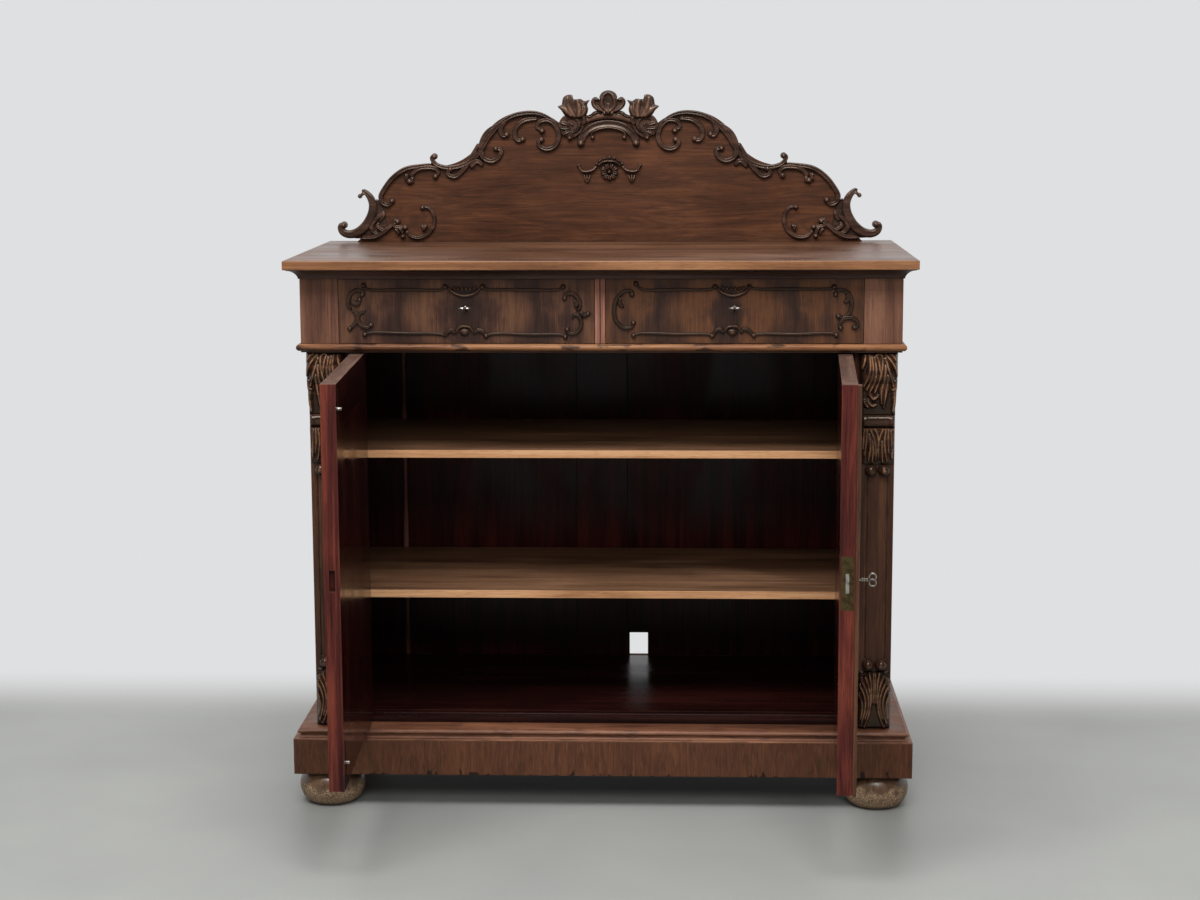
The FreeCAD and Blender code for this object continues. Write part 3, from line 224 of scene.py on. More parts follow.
def shader_of_new(name):
    """The shader of a new material with a name."""
    return Shader(bpy.data.materials.new(name))


# Near-black for soot, dark joints and bitten edges, and for the painted shade in corners and carved cuts
SOOT_AND_SHADE = tone(18, 12, 9)
POLISH = (1.0, 0.84, 0.68, 1.0)


def wood_pattern(shader, figure=1.0, wave=1.0):
    """Streaks, fibres, pores and clouds of a board, from its own grain coordinates."""
    grain = shader.attribute("wood")
    streaks = shader.noise(grain, (1.4 * wave, 26 * figure, 26 * figure), 5, 1.2 * wave, 0.6)
    fibres = shader.noise(grain, (9, 330, 330), 3)
    pores = shader.noise(grain, (38, 900, 900), 1)
    clouds = shader.noise(grain, (3.2, 7, 7), 4, 0.6)
    return grain, streaks, fibres, pores, clouds


def wood(name, dark, middle, light, worn, roughness=0.42, wear=0.6, hollow_shade_and_grime=0.6, figure=1.0, wave=1.0,
         spread=0.12, specular=0.3, chips=0.0, foot=None):
    """Polished wood: figured along the grain, pale on its edges with wear and a painted highlight,
    and dark in its corners with painted shade and dirt.

    Wave makes the figure shorter and more bent, and a wide spread softens it. Chips is how much of the
    finish has gone in spots, and foot the level of a bitten lower edge.
    """
    dark, middle, light, worn = tones(dark, middle, light, worn)
    shader = shader_of_new(name)
    grain, streaks, fibres, pores, clouds = wood_pattern(shader, figure, wave)
    blend = shader.total((streaks, 0.52), (fibres, 0.2), (clouds, 0.28))
    colour = shader.ramp(blend, (0.5 - spread, dark), (0.5, middle), (0.5 + spread, light))
    colour = shader.mix(shader.remap(pores, 0.56, 0.72, 0, 0.4), colour, dark, "MULTIPLY")
    scuffs = shader.noise(grain, (30, 90, 90), 4)
    # Pale edges: wear, and with a high wear share, as on the pilasters, a painted edge highlight
    rubbed_and_highlit = shader.times(shader.edges(2.4 * MM), shader.remap(scuffs, 0.38, 0.6, 0.15, wear))
    colour = shader.mix(rubbed_and_highlit, colour, worn)
    if chips:
        spots = shader.noise(grain, (18, 60, 60), 4)
        colour = shader.mix(shader.remap(spots, 0.55, 0.63, 0, chips), colour, dark)
    # Painted shade, with some dirt, darkening corners and cracks
    colour = shader.shaded_and_soiled(colour, 14 * MM, hollow_shade_and_grime)
    if foot is not None:
        place = shader.place()
        bite = shader.remap(shader.noise(place, (75, 75, 24), 3), 0.54, 0.72, 0.5 * MM, 17 * MM)
        height = shader.math("SUBTRACT", shader.parts(place)["Z"], foot)
        level = shader.math("SUBTRACT", height, bite)
        colour = shader.mix(shader.remap(level, 1.2 * MM, -1.2 * MM, 0, 0.85), colour, SOOT_AND_SHADE)
    shine = shader.remap(clouds, 0.35, 0.65, roughness - 0.06, roughness + 0.08)
    normal = shader.bump(shader.math("ADD", fibres, shader.times(pores, 0.6)), 0.12, 0.4 * MM)
    return shader.finish(base_color=colour, roughness=shine, normal=normal, specular_ior_level=specular)


def carved_wood(name, dark, middle, light, worn, gloss=(0.2, 0.34), plain_back=False):
    """Stained carving: painted nearly black in its cuts as shade with some dirt, and pale on its high places
    with wear and a painted highlight.

    Gloss is its lowest and highest roughness, and a plain back has no painted shade on it.
    """
    dark, middle, light, worn = tones(dark, middle, light, worn)
    shader = shader_of_new(name)
    grain, streaks, fibres, _, _ = wood_pattern(shader, 1.6)
    colour = shader.ramp(streaks, (0.36, dark), (0.5, middle), (0.64, light))
    high = shader.attribute("relief", "Fac")
    scuffs = shader.noise(grain, (60, 60, 60), 3)
    # Pale crests: wear, and a painted highlight on the highest places
    rubbed_and_highlit = shader.times(shader.remap(high, 0.92, 1.0), shader.remap(scuffs, 0.36, 0.62, 0.15, 0.8))
    colour = shader.mix(rubbed_and_highlit, colour, worn)
    # Painted shade in the cuts: the lower the relief, the darker
    low = shader.times(shader.remap(high, 0.45, 0.05), 0.88)
    painted_shade_and_grime = shader.largest(low, shader.times(shader.shaded_hollows(7 * MM), 0.9))
    if plain_back:
        facing = shader.parts(shader.add("NewGeometry").outputs["True Normal"])
        painted_shade_and_grime = shader.times(painted_shade_and_grime, shader.remap(facing["Y"], 0.9, 0.6))
    colour = shader.mix(painted_shade_and_grime, colour, SOOT_AND_SHADE)
    normal = shader.bump(shader.math("ADD", fibres, scuffs), 0.08, 0.4 * MM)
    shine = shader.remap(scuffs, 0.35, 0.65, *gloss)
    return shader.finish(base_color=colour, roughness=shine, normal=normal, specular_ior_level=0.45,
                         specular_tint=POLISH)


# The drawers' flames: how far each lies from the middle and reaches, half the width of its dark heart,
# and its middle and light tones
FLAMES = {
    "left": (3 * MM, 129 * MM, 50 * MM, (62, 39, 30), (99, 67, 47)),
    "right": (-16 * MM, 112 * MM, 28 * MM, (64, 40, 28), (97, 61, 38)),
}
FLAME_DARK = (40, 25, 20)
FLAME_RISE = 90 * MM


def flame_veneer(name, centre, level, reach, heart, middle, light):
    """Upright veneer, two leaves mirrored about one line: a pale oval flame with a dark heart and rim."""
    dark, middle, light = tones(FLAME_DARK, middle, light)
    shader = shader_of_new(name)
    parts = shader.parts(shader.place())
    aside = shader.math("ABSOLUTE", shader.math("SUBTRACT", parts["X"], centre))
    mirrored = shader.add("CombineXYZ", {0: aside, 1: parts["Y"], 2: parts["Z"]}).outputs[0]
    clouds = shader.noise(mirrored, (16, 1, 11), 5, 0.8)
    bands = shader.noise(mirrored, (75, 1, 4), 4, 0.4)
    strands = shader.noise(mirrored, (420, 1, 14), 3, 0.3)
    pores = shader.noise(mirrored, (1000, 1, 50), 1)
    far = shader.math("ADD", aside, shader.remap(clouds, 0.3, 0.7, -16 * MM, 16 * MM))
    across = shader.math("POWER", shader.math("DIVIDE", far, reach), 2.0)
    up = shader.math("DIVIDE", shader.math("SUBTRACT", parts["Z"], level), FLAME_RISE)
    oval = shader.remap(shader.math("ADD", across, shader.times(up, up)), 1.35, 0.6)
    pale = shader.times(oval, shader.remap(far, 0.3 * heart, 1.7 * heart))
    blend = shader.total((pale, 0.15), (strands, 0.28), (bands, 0.21), (clouds, 0.32))
    blend = shader.math("ADD", blend, shader.remap(far, 1.15 * reach, 1.7 * reach, 0, 0.1))
    colour = shader.ramp(blend, (0.36, dark), (0.46, middle), (0.6, light))
    colour = shader.mix(shader.remap(pores, 0.55, 0.72, 0, 0.3), colour, dark, "MULTIPLY")
    # Painted shade, with some dirt, towards the front's edges and cracks
    colour = shader.shaded_and_soiled(colour, 10 * MM, 0.85)
    normal = shader.bump(strands, 0.1, 0.3 * MM)
    shine = shader.remap(clouds, 0.35, 0.65, 0.34, 0.46)
    return shader.finish(base_color=colour, roughness=shine, normal=normal, specular_ior_level=0.3)


def divider_finish(name, dark, middle, light):
    """Two strips of reddish edging side by side, with a dark joint between them."""
    dark, middle, light = tones(dark, middle, light)
    shader = shader_of_new(name)
    _, streaks, fibres, _, _ = wood_pattern(shader)
    blend = shader.total((streaks, 0.6), (fibres, 0.4))
    colour = shader.ramp(blend, (0.38, dark), (0.5, middle), (0.62, light))
    across = shader.math("ABSOLUTE", shader.parts(shader.place())["X"])
    colour = shader.mix(shader.remap(across, 1.6 * MM, 0.7 * MM), colour, SOOT_AND_SHADE)
    return shader.finish(base_color=colour, roughness=0.5, normal=shader.bump(fibres, 0.12, 0.4 * MM),
                         specular_ior_level=0.3)


def foot_finish(name, polished, bare):
    """Turned beech, dark and polished above and scuffed to bare speckled wood below."""
    shader = shader_of_new(name)
    _, streaks, _, _, _ = wood_pattern(shader)
    place = shader.place()
    specks = shader.noise(place, (400, 400, 480), 5, 0.4, 0.68)
    patches = shader.noise(place, (38, 38, 38), 3)
    height = shader.parts(place)["Z"]
    level = shader.math("ADD", height, shader.remap(patches, 0.3, 0.7, -12 * MM, 12 * MM))
    worn = shader.remap(level, 50 * MM, 34 * MM)
    above = shader.ramp(streaks, *zip((0.35, 0.65), tones(*polished)))
    below = shader.ramp(specks, *zip((0.41, 0.5, 0.59), tones(*bare)))
    # Painted shade, with some dirt, in corners and cracks
    colour = shader.shaded_and_soiled(shader.mix(worn, above, below), 14 * MM, 0.5)
    normal = shader.bump(specks, 0.3, 0.6 * MM)
    shine = shader.remap(worn, 0.0, 1.0, 0.3, 0.62)
    return shader.finish(base_color=colour, roughness=shine, normal=normal, specular_ior_level=0.6)


def metal(name, clean, stained, roughness):
    """Old bare metal with stains and fine scratches."""
    shader = shader_of_new(name)
    place = shader.place()
    stains = shader.noise(place, (90, 90, 90), 3)
    scratches = shader.noise(place, (900, 900, 120), 2)
    colour = shader.mix(shader.remap(stains, 0.35, 0.75), *tones(clean, stained))
    # Painted shade, with some dirt, in corners and cracks
    colour = shader.shaded_and_soiled(colour, 3 * MM, 0.7)
    normal = shader.bump(scratches, 0.15, 0.1 * MM)
    shine = shader.remap(stains, 0.35, 0.65, roughness, roughness + 0.25)
    return shader.finish(base_color=colour, roughness=shine, normal=normal, metallic=1.0)


PLINTH_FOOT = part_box("plinth_boards")[0].z
WALNUT = wood("walnut", (68, 43, 33), (101, 67, 52), (128, 90, 71), (146, 105, 78))
# Full wear paints highlights on the shaft's edges, and full corner darkening paints shade in its sunk panel's
# lines
PILASTER = wood("pilaster_walnut", (48, 29, 20), (75, 46, 31), (102, 65, 44), (156, 111, 80), wear=1.0,
                hollow_shade_and_grime=1.0)
# A darker copy of the walnut for the cove under the top and the dust board's front: painted shade
SHADED = wood("shaded_moulding_walnut", (52, 33, 27), (76, 50, 40), (98, 68, 54), (114, 82, 62))
PLINTH = wood("plinth_walnut", (56, 34, 23), (85, 52, 35), (114, 72, 48), (138, 98, 70), figure=2.4,
              wave=4.0, spread=0.2, specular=0.25, chips=0.35, foot=PLINTH_FOOT)
# The plinth moulding's walnut, with chips, lighter than the plinth's as painted light from above
LEDGE = wood("lit_ledge_walnut", (66, 41, 30), (106, 67, 48), (138, 92, 67), (158, 113, 84), chips=0.5)
GALLERY = wood("gallery_walnut", (42, 25, 18), (70, 42, 27), (98, 60, 38), (98, 66, 46), specular=0.2,
               figure=1.3, wave=2.4, spread=0.17)
TOP_EDGE = wood("top_edge", (86, 55, 36), (124, 83, 54), (150, 106, 72), (168, 124, 88), chips=0.2)
TOP_FACE = wood("top_face", (54, 34, 22), (78, 50, 33), (102, 68, 46), (130, 94, 66), roughness=0.32,
                specular=0.45)
BEAD = wood("bead", (46, 28, 19), (114, 73, 47), (148, 102, 66), (168, 121, 82), wear=0.8, chips=0.85)
MAHOGANY = wood("mahogany", (36, 12, 13), (77, 32, 27), (114, 54, 40), (122, 66, 50), wear=0.35,
                specular=0.2, spread=0.1)
DOOR_TOP = wood("door_top", (54, 38, 32), (76, 55, 46), (98, 74, 63), (124, 96, 82), roughness=0.65,
                specular=0.15)
INSIDE = wood("inside", (30, 10, 9), (54, 20, 17), (78, 31, 25), (88, 40, 32), roughness=0.34, wear=0.2,
              specular=0.2)
FLOOR_BOARD = wood("floor_board", (18, 7, 6), (30, 11, 9), (44, 17, 13), (84, 44, 30), roughness=0.22,
                   wear=0.5, specular=0.2)
# Pale wood of the back's bead, its paleness partly a painted highlight
BACK_BEAD = wood("back_bead", (92, 55, 47), (126, 82, 72), (156, 108, 96), (160, 112, 98))
DOOR_INSIDE = wood("door_inside", (26, 8, 7), (44, 15, 13), (64, 24, 19), (78, 34, 27), roughness=0.15,
                   wear=0.2, specular=0.35)
BACKING = wood("backing", (58, 40, 28), (84, 60, 43), (108, 80, 58), (124, 94, 68), roughness=0.75,
               wear=0.3, specular=0.1)
SHELF = wood("shelf", (76, 53, 38), (106, 76, 55), (132, 98, 73), (154, 116, 82), wear=0.3)
SHELF_EDGE = wood("shelf_edge", (146, 102, 68), (184, 136, 96), (208, 162, 120), (208, 164, 122),
                  roughness=0.6, wear=0.3, hollow_shade_and_grime=0.3)
DEAL = wood("deal", (112, 80, 52), (148, 112, 76), (178, 142, 102), (180, 146, 106), roughness=0.66,
            wear=0.3, specular=0.15)
STRIP = wood("strip", (54, 33, 22), (80, 51, 34), (104, 70, 48), (124, 87, 60))
DIVIDER = divider_finish("divider", (82, 50, 40), (122, 80, 65), (150, 106, 88))
CARVING = carved_wood("carving", (33, 20, 15), (52, 33, 24), (76, 50, 37), (152, 110, 80))
GALLERY_CARVING = carved_wood("gallery_carving", (36, 24, 20), (54, 37, 30), (74, 52, 43), (116, 84, 65),
                              plain_back=True)
DRAWER_CARVING = carved_wood("drawer_carving", (26, 16, 13), (38, 24, 18), (52, 34, 26), (92, 62, 46),
                             gloss=(0.3, 0.42))
FOOT = foot_finish("foot", polished=[(70, 51, 39), (120, 91, 69)],
                   bare=[(74, 53, 39), (142, 112, 84), (198, 169, 134)])
BRASS = metal("brass", (104, 91, 60), (70, 60, 41), 0.42)
BRONZE = metal("bronze", (64, 40, 28), (40, 24, 18), 0.5)
STEEL = metal("steel", (196, 190, 182), (120, 112, 104), 0.24)


# Boards: each solid of a frame node with eased edges and grain along its length
GRAIN_SEED = 7
GRAIN_SHIFT = 20.0
FLAT_ANGLE = math.radians(1)
EDGE_ANGLE = math.radians(28)
shuffle = np.random.default_rng(GRAIN_SEED)


def door_turn(body):
    """How an open door's own frame, as when it is shut, is turned into the open one."""
    for side in SIDES:
        if body == f"{side}_door" or body.startswith(f"{side}_door_"):
            joint = JOINTS[f"{side}_door_hinge"]
            pivot = Matrix.Translation(Vector(joint["pos_m"]))
            swing = math.radians(-joint["range_deg"][0])
            return pivot @ Matrix.Rotation(swing, 4, Vector(joint["axis"])) @ pivot.inverted()
    return Matrix.Identity(4)


def solids(node):
    """The closed solids of a frame node, each as triangles of corner points, in the order of its mesh."""
    mesh = frame["nodes"][node].data
    corners = [tuple(round(value, 7) for value in vertex.co) for vertex in mesh.vertices]
    waiting = set()
    triangles = []
    found = []
    for face in mesh.polygons:
        triangle = [corners[index] for index in face.vertices]
        triangles.append(triangle)
        for start, end in zip(triangle, triangle[1:] + triangle[:1]):
            if (end, start) in waiting:
                waiting.remove((end, start))
            else:
                waiting.add((start, end))
        if not waiting:
            found.append(triangles)
            triangles = []
    return found


def eased(triangles, ease):
    """A solid with its edges eased, curved faces smooth and flat ones flat."""
    work = bmesh.new()
    known = {}
    for triangle in triangles:
        for corner in triangle:
            if corner not in known:
                known[corner] = work.verts.new(corner)
        if len(set(triangle)) == 3:
            work.faces.new([known[corner] for corner in triangle])
    bmesh.ops.dissolve_limit(work, angle_limit=FLAT_ANGLE, verts=work.verts, edges=work.edges)
    for face in work.faces:
        bends = [edge.calc_face_angle(0) for edge in face.edges]
        face.smooth = any(FLAT_ANGLE < bend < EDGE_ANGLE for bend in bends)
    if ease:
        sharp = [edge for edge in work.edges if edge.calc_face_angle(0) > EDGE_ANGLE]
        bmesh.ops.bevel(work, geom=sharp, offset=ease, offset_type="OFFSET", segments=2, profile=0.5,
                        affect="EDGES", clamp_overlap=True)
    return work


def write_grain(work, back_turn=Matrix.Identity(4), length=None):
    """Stores where each point lies in its board: along the grain, then across it twice."""
    layer = work.verts.layers.float_vector.new("wood")
    places = [back_turn @ vertex.co for vertex in work.verts]
    extent = [max(p[i] for p in places) - min(p[i] for p in places) for i in range(3)]
    first = extent.index(max(extent)) if length is None else length
    order = [first] + [axis for axis in range(3) if axis != first]
    shift = shuffle.uniform(0, GRAIN_SHIFT, 3)
    for vertex, place in zip(work.verts, places):
        vertex[layer] = [place[axis] + move for axis, move in zip(order, shift)]


def to_mesh(work, name):
    mesh = bpy.data.meshes.new(name)
    work.to_mesh(mesh)
    work.free()
    return mesh


def add_piece(name, mesh, materials, body, slot, *nodes):
    """A finished mesh as a piece that rides on a body and stands for frame nodes."""
    piece = add_object(name, mesh)
    for material in materials:
        mesh.materials.append(material)
    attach(piece, body)
    if nodes:
        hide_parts(*nodes)


def body_of(node):
    return frame["nodes"][node]["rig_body"]


def slot_of(node):
    return frame["nodes"][node].data.materials[0].name


def boards(node, material, ease=1.2, length=None, *faces):
    """A frame node's boards, their edges eased by so many millimetres and their grain along one way.

    Each pair in faces is a test of a face's look and place, and the material of those that pass.
    """
    whole = bmesh.new()
    back_turn = door_turn(body_of(node)).inverted()
    for triangles in solids(node):
        work = eased(triangles, ease * MM)
        write_grain(work, back_turn, length)
        for face in work.faces:
            look = back_turn.to_3x3() @ face.normal
            place = back_turn @ face.calc_center_median()
            for index, (test, _) in enumerate(faces, 1):
                if test(look, place):
                    face.material_index = index
        part = to_mesh(work, "part")
        whole.from_mesh(part)
        bpy.data.meshes.remove(part)
    materials = [material] + [finish for _, finish in faces]
    add_piece(f"{node}_finished", to_mesh(whole, node), materials, body_of(node), slot_of(node), node)


X_WAY, Z_WAY = 0, 2
FACING = 0.6


def looks_front(look, place):
    return look.y < -FACING


def looks_up(look, place):
    return look.z > FACING


def looks_round(look, place):
    return abs(look.z) < FACING


def looks_along(look, place):
    return abs(look.x) > FACING


def looks_out(look, place):
    """A face on the outer side of the object, left, right or front."""
    return look.x * math.copysign(1, place.x) > FACING or look.y < -FACING


def shut_box(node):
    """A node's lowest and highest corners in its door's own frame, as when the door is shut."""
    back_turn = door_turn(body_of(node)).inverted()
    corners = np.array([back_turn @ vertex.co for vertex in frame["nodes"][node].data.vertices])
    return Vector(corners.min(0)), Vector(corners.max(0))


# The case from the floor up: each node's finish, ease, way of the grain, and faces of another finish
CASE = [
    ("bun_feet", FOOT, 0, Z_WAY),
    ("rear_feet", DEAL, 2.0),
    ("plinth_boards", PLINTH, 1.6, Z_WAY),
    ("plinth_blocks", DEAL),
    ("bottom_board", FLOOR_BOARD, 1.5, X_WAY),
    ("front_stiles", PILASTER, 0.8, Z_WAY),
    ("side_boards", INSIDE, 0.6, Z_WAY, (looks_out, WALNUT)),
    ("dust_board", INSIDE, 0.8, X_WAY, (looks_front, SHADED)),
    ("back_frame", BACKING, 0.8, None, (looks_front, INSIDE), (looks_along, MAHOGANY)),
    ("back_panels", BACKING, 0.5, Z_WAY, (looks_front, INSIDE)),
    ("lower_shelf", SHELF, 1.0, X_WAY, (looks_front, SHELF_EDGE)),
    ("upper_shelf", SHELF, 1.0, X_WAY, (looks_front, SHELF_EDGE)),
    ("shelf_cleats", INSIDE, 0.8),
    ("pilasters", PILASTER, 1.0, Z_WAY),
    ("frieze_blocks", WALNUT, 0.8, Z_WAY),
    ("frieze_sides", WALNUT, 0.8),
    ("drawer_divider", DIVIDER, 1.2),
    ("drawer_guides", DEAL, 0.8),
    ("frieze_bead", BEAD, 0.3),
    ("top_rails", DEAL, 0.8),
    ("top_moulding", SHADED, 0.5),
    ("top_board", TOP_FACE, 1.8, X_WAY, (looks_round, TOP_EDGE)),
    ("gallery_board", GALLERY, 1.5, X_WAY),
]
LOCKED = ("right_door", "left_drawer", "right_drawer")
METAL_EASE = 0.25


def add_case():
    for row in CASE:
        boards(*row)


def add_doors():
    for side in SIDES:
        name = f"{side}_door"
        low, high = shut_box(f"{name}_frame")
        middle = (low.x + high.x) / 2

        def looks_aside(look, place):
            return look.x * math.copysign(1, place.x - middle) > FACING

        boards(f"{name}_frame", DOOR_INSIDE, 1.0, None, (looks_front, WALNUT), (looks_aside, MAHOGANY),
               (looks_up, DOOR_TOP))
        boards(f"{name}_panel", DOOR_INSIDE, 0.4, Z_WAY, (looks_front, WALNUT))
    boards("right_door_astragal", STRIP, 0.8, Z_WAY)


def add_drawers():
    for side in SIDES:
        low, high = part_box(f"{side}_drawer_front")
        shift, *look = FLAMES[side]
        middle = (low + high) / 2
        veneer = flame_veneer(f"{side}_drawer_veneer", middle.x + shift, middle.z, *look)
        boards(f"{side}_drawer_front", WALNUT, 0.8, X_WAY, (looks_front, veneer))
        boards(f"{side}_drawer_box", DEAL, 0.8)


def add_fittings():
    leaves = ["hinge_frame_leaves", "left_door_hinge_leaves", "right_door_hinge_leaves"]
    for node in leaves + [f"{name}_lock_case" for name in LOCKED]:
        boards(node, BRASS, METAL_EASE)
    boards("left_door_bolt_plates", BRONZE, METAL_EASE)
    pins = ["hinge_pins", "flush_bolt_top", "flush_bolt_bottom"]
    for node in pins + [f"{name}_lock_bolt" for name in LOCKED]:
        boards(node, STEEL, METAL_EASE)
    for name in LOCKED:
        boards(f"{name}_key", STEEL, 0)


# Carving: closed forms on one face, as rings of points (across, up, out) in millimetres. Here are how deep
# they are let in, how finely they are drawn, and how high their lowest places count for the painted shade
SUNK = -1.5
SECTION = 13
TURNS = np.linspace(0, 2 * math.pi, 20, endpoint=False)
DOME = np.linspace(0, 0.97, 8) * math.pi / 2
STROKE_STEP, OUTLINE_STEP = 1.5, 2
LOW_RELIEF = 0.2
PLAIN_RELIEF, CUT_RELIEF = 0.5, 0.4
PLATE_SHARES = np.linspace(1, 0.04, 16)


def smooth_line(points, step, closed=False):
    """Points along a smooth line through the given ones, about a step apart."""
    known = np.array(points, float)
    if closed:
        known = np.vstack([known[-1], known, known[:2]])
    else:
        known = np.vstack([2 * known[0] - known[1], known, 2 * known[-1] - known[-2]])
    gaps = np.sqrt(np.linalg.norm(np.diff(known, axis=0), axis=1))
    knots = np.concatenate([[0], np.cumsum(gaps)])
    line = []
    for first in range(len(known) - 3):
        k, level = knots[first:first + 4], known[first:first + 4, None]
        count = max(2, math.ceil(np.linalg.norm(level[2] - level[1]) / step))
        t = np.linspace(k[1], k[2], count, endpoint=False)[:, None]
        for reach in (1, 2):
            level = [((k[i + reach] - t) * level[i] + (t - k[i]) * level[i + 1]) / (k[i + reach] - k[i])
                     for i in range(4 - reach)]
        line.append(((k[2] - t) * level[0] + (t - k[1]) * level[1]) / (k[2] - k[1]))
    if not closed:
        line.append(known[-2:-1])
    return np.vstack(line)


def line_lengths(line):
    return np.concatenate([[0], np.cumsum(np.linalg.norm(np.diff(line, axis=0), axis=1))])


def stroke_crest(x, z, strokes, half, swell=(1, 1, 0.9, 0.55)):
    """One along the lines of carved strokes, falling to nothing at half their width."""
    crest = np.zeros_like(x)
    for stroke in strokes:
        line = smooth_line(stroke, STROKE_STEP)
        along = line_lengths(line)
        wide = half * np.interp(along / along[-1], np.linspace(0, 1, len(swell)), swell)
        gaps = np.hypot(x[..., None] - line[:, 0], z[..., None] - line[:, 1]) / wide
        crest = np.maximum(crest, np.clip(1 - gaps.min(axis=-1) ** 2, 0, 1))
    return crest


class Carving:
    """Carved forms gathered on one face, let in as deep as sunk. Relief is 0 in cuts and 1 on crests."""

    def __init__(self, sunk=SUNK):
        self.forms = []
        self.sunk = sunk

    def add(self, rings, relief):
        self.forms.append((np.array(rings, float), np.array(relief, float)))

    def ridge(self, points, width, height, swell=(0.6, 1, 1, 0.6), groove=0.0, hollow=0.3):
        """A rounded ridge along a line, its width and height following the swell from end to end.

        The groove along its crest is as deep as that share of its height, and as wide as the hollow.
        """
        line = smooth_line(points, width / 5)
        along = line_lengths(line)
        share = np.interp(along / along[-1], np.linspace(0, 1, len(swell)), swell)
        end_gap = np.minimum(along, along[-1] - along) / (width * share / 2)
        rounding = np.sqrt(1 - (1 - np.clip(end_gap, 0.02, 1)) ** 2)
        way = np.gradient(line, axis=0)
        way /= np.linalg.norm(way, axis=1)[:, None]
        side = np.stack([-way[:, 1], way[:, 0]], axis=1)
        angles = np.linspace(0, math.pi, SECTION)
        reach = np.cos(angles)[None] * (width / 2 * share * rounding)[:, None]
        crown = np.sin(angles) ** 0.8 * (1 - groove * np.exp(-(np.cos(angles) / hollow) ** 2))
        out = crown[None] * (height * np.sqrt(share) * rounding)[:, None]
        place = line[:, None] + side[:, None] * reach[:, :, None]
        rings = np.concatenate([place, out[:, :, None]], axis=2)
        relief = np.repeat(crown[None], len(line), axis=0)
        rings[:, (0, -1), 2] = self.sunk
        self.add(rings, relief)

    def turned(self, profile, relief, centre=(0, 0), flat=1.0):
        """A turned form that stands out of the face, its profile as pairs of its reach and radius."""
        rings = [[(centre[0] + radius * flat * math.cos(a), centre[1] + radius * math.sin(a), out)
                  for a in TURNS] for out, radius in profile]
        self.add(rings, np.repeat(np.array(relief)[:, None], len(TURNS), axis=1))

    def ball(self, centre, radius, height, flat=1.0):
        """A dome on the face, round or drawn out across it."""
        profile = [(self.sunk, radius)] + [(height * math.sin(a), radius * math.cos(a)) for a in DOME]
        relief = [LOW_RELIEF, *(LOW_RELIEF + (1 - LOW_RELIEF) * np.sin(DOME))]
        self.turned(profile, relief, centre, flat)

    def plate(self, outline, centre, edge, crown, strokes=(), half=6.0, rise=5.0):
        """A leaf or web: an outline that its centre sees all round, crowned, with strokes along it."""
        line = smooth_line(outline, OUTLINE_STEP, closed=True)
        rings = [np.column_stack([line, np.full(len(line), self.sunk)])]
        relief = [np.zeros(len(line))]
        ground = CUT_RELIEF if strokes else PLAIN_RELIEF
        for share in PLATE_SHARES:
            points = np.array(centre) + (line - np.array(centre)) * share
            crest = stroke_crest(points[:, 0], points[:, 1], strokes, half)
            out = edge + crown * math.sqrt(1 - share ** 2) + rise * crest * min(1, 4 * (1 - share) + 0.3)
            rings.append(np.column_stack([points, out]))
            relief.append(ground + (1 - ground) * crest)
        self.add(rings, relief)

    def field(self, width, height, out, columns=70, rows=110):
        """A carved block: its face a grid moved out by a function of (across, up), both as shares."""
        across, up = np.meshgrid(np.linspace(-1, 1, columns), np.linspace(0, 1, rows))
        half = width(up) / 2
        depth, relief = out(across, up)
        face = np.stack([across * half, up * height, depth], axis=2)
        back = np.stack([face[:, (-1, 0), 0], face[:, (-1, 0), 1], np.full((rows, 2), self.sunk)], axis=2)
        relief = np.concatenate([relief, np.zeros((rows, 2))], axis=1)
        self.add(np.concatenate([face, back], axis=1), relief)

    def mirror(self, flip=(-1, 1, 1), shift=(0, 0, 0)):
        """Repeats every form on the other side of a line, which is the upright middle one as a rule."""
        self.forms += [(rings * flip + shift, relief) for rings, relief in self.forms]

    def mesh(self, name, *places):
        """One mesh of all the forms at each place, a place being the matrix of the face."""
        work = bmesh.new()
        height = work.verts.layers.float.new("relief")
        for place in places:
            for rings, relief in self.forms:
                rows = []
                for ring, values in zip(rings, relief):
                    rows.append([work.verts.new(place @ Vector(point * MM)) for point in ring])
                    for vertex, value in zip(rows[-1], values):
                        vertex[height] = value
                for lower, upper in zip(rows, rows[1:]):
                    for i in range(len(lower)):
                        face = work.faces.new((lower[i - 1], lower[i], upper[i], upper[i - 1]))
                        face.smooth = True
                work.faces.new(rows[0])
                work.faces.new(rows[-1])
        bmesh.ops.recalc_face_normals(work, faces=work.faces)
        write_grain(work)
        return to_mesh(work, name)


def face_at(origin, across=(1, 0, 0), up=(0, 0, 1), out=(0, -1, 0)):
    """The matrix that takes (across, up, out) to the frame."""
    turn = Matrix((across, up, out)).transposed().to_4x4()
    return Matrix.Translation(Vector(origin)) @ turn


def add_carving(name, carving, body, nodes, *places, finish=CARVING):
    add_piece(name, carving.mesh(name, *places), [finish], body, "carving", *nodes)


def add_front_carving(body, carving, corners, finish=CARVING):
    """Carving about the middle of a door's or drawer's front, from the corners of what bears it."""
    low, high = corners
    face = face_at(((low.x + high.x) / 2, low.y, (low.z + high.z) / 2))
    add_carving(f"{body}_scrolls", carving, body, [f"{body}_carving"], door_turn(body) @ face, finish=finish)


def mirrored(lines):
    return [[(-x, z) for x, z in line] for line in lines]


def arch(half):
    """A line that is the same on both sides of its first point."""
    return mirrored([half[:0:-1]])[0] + half


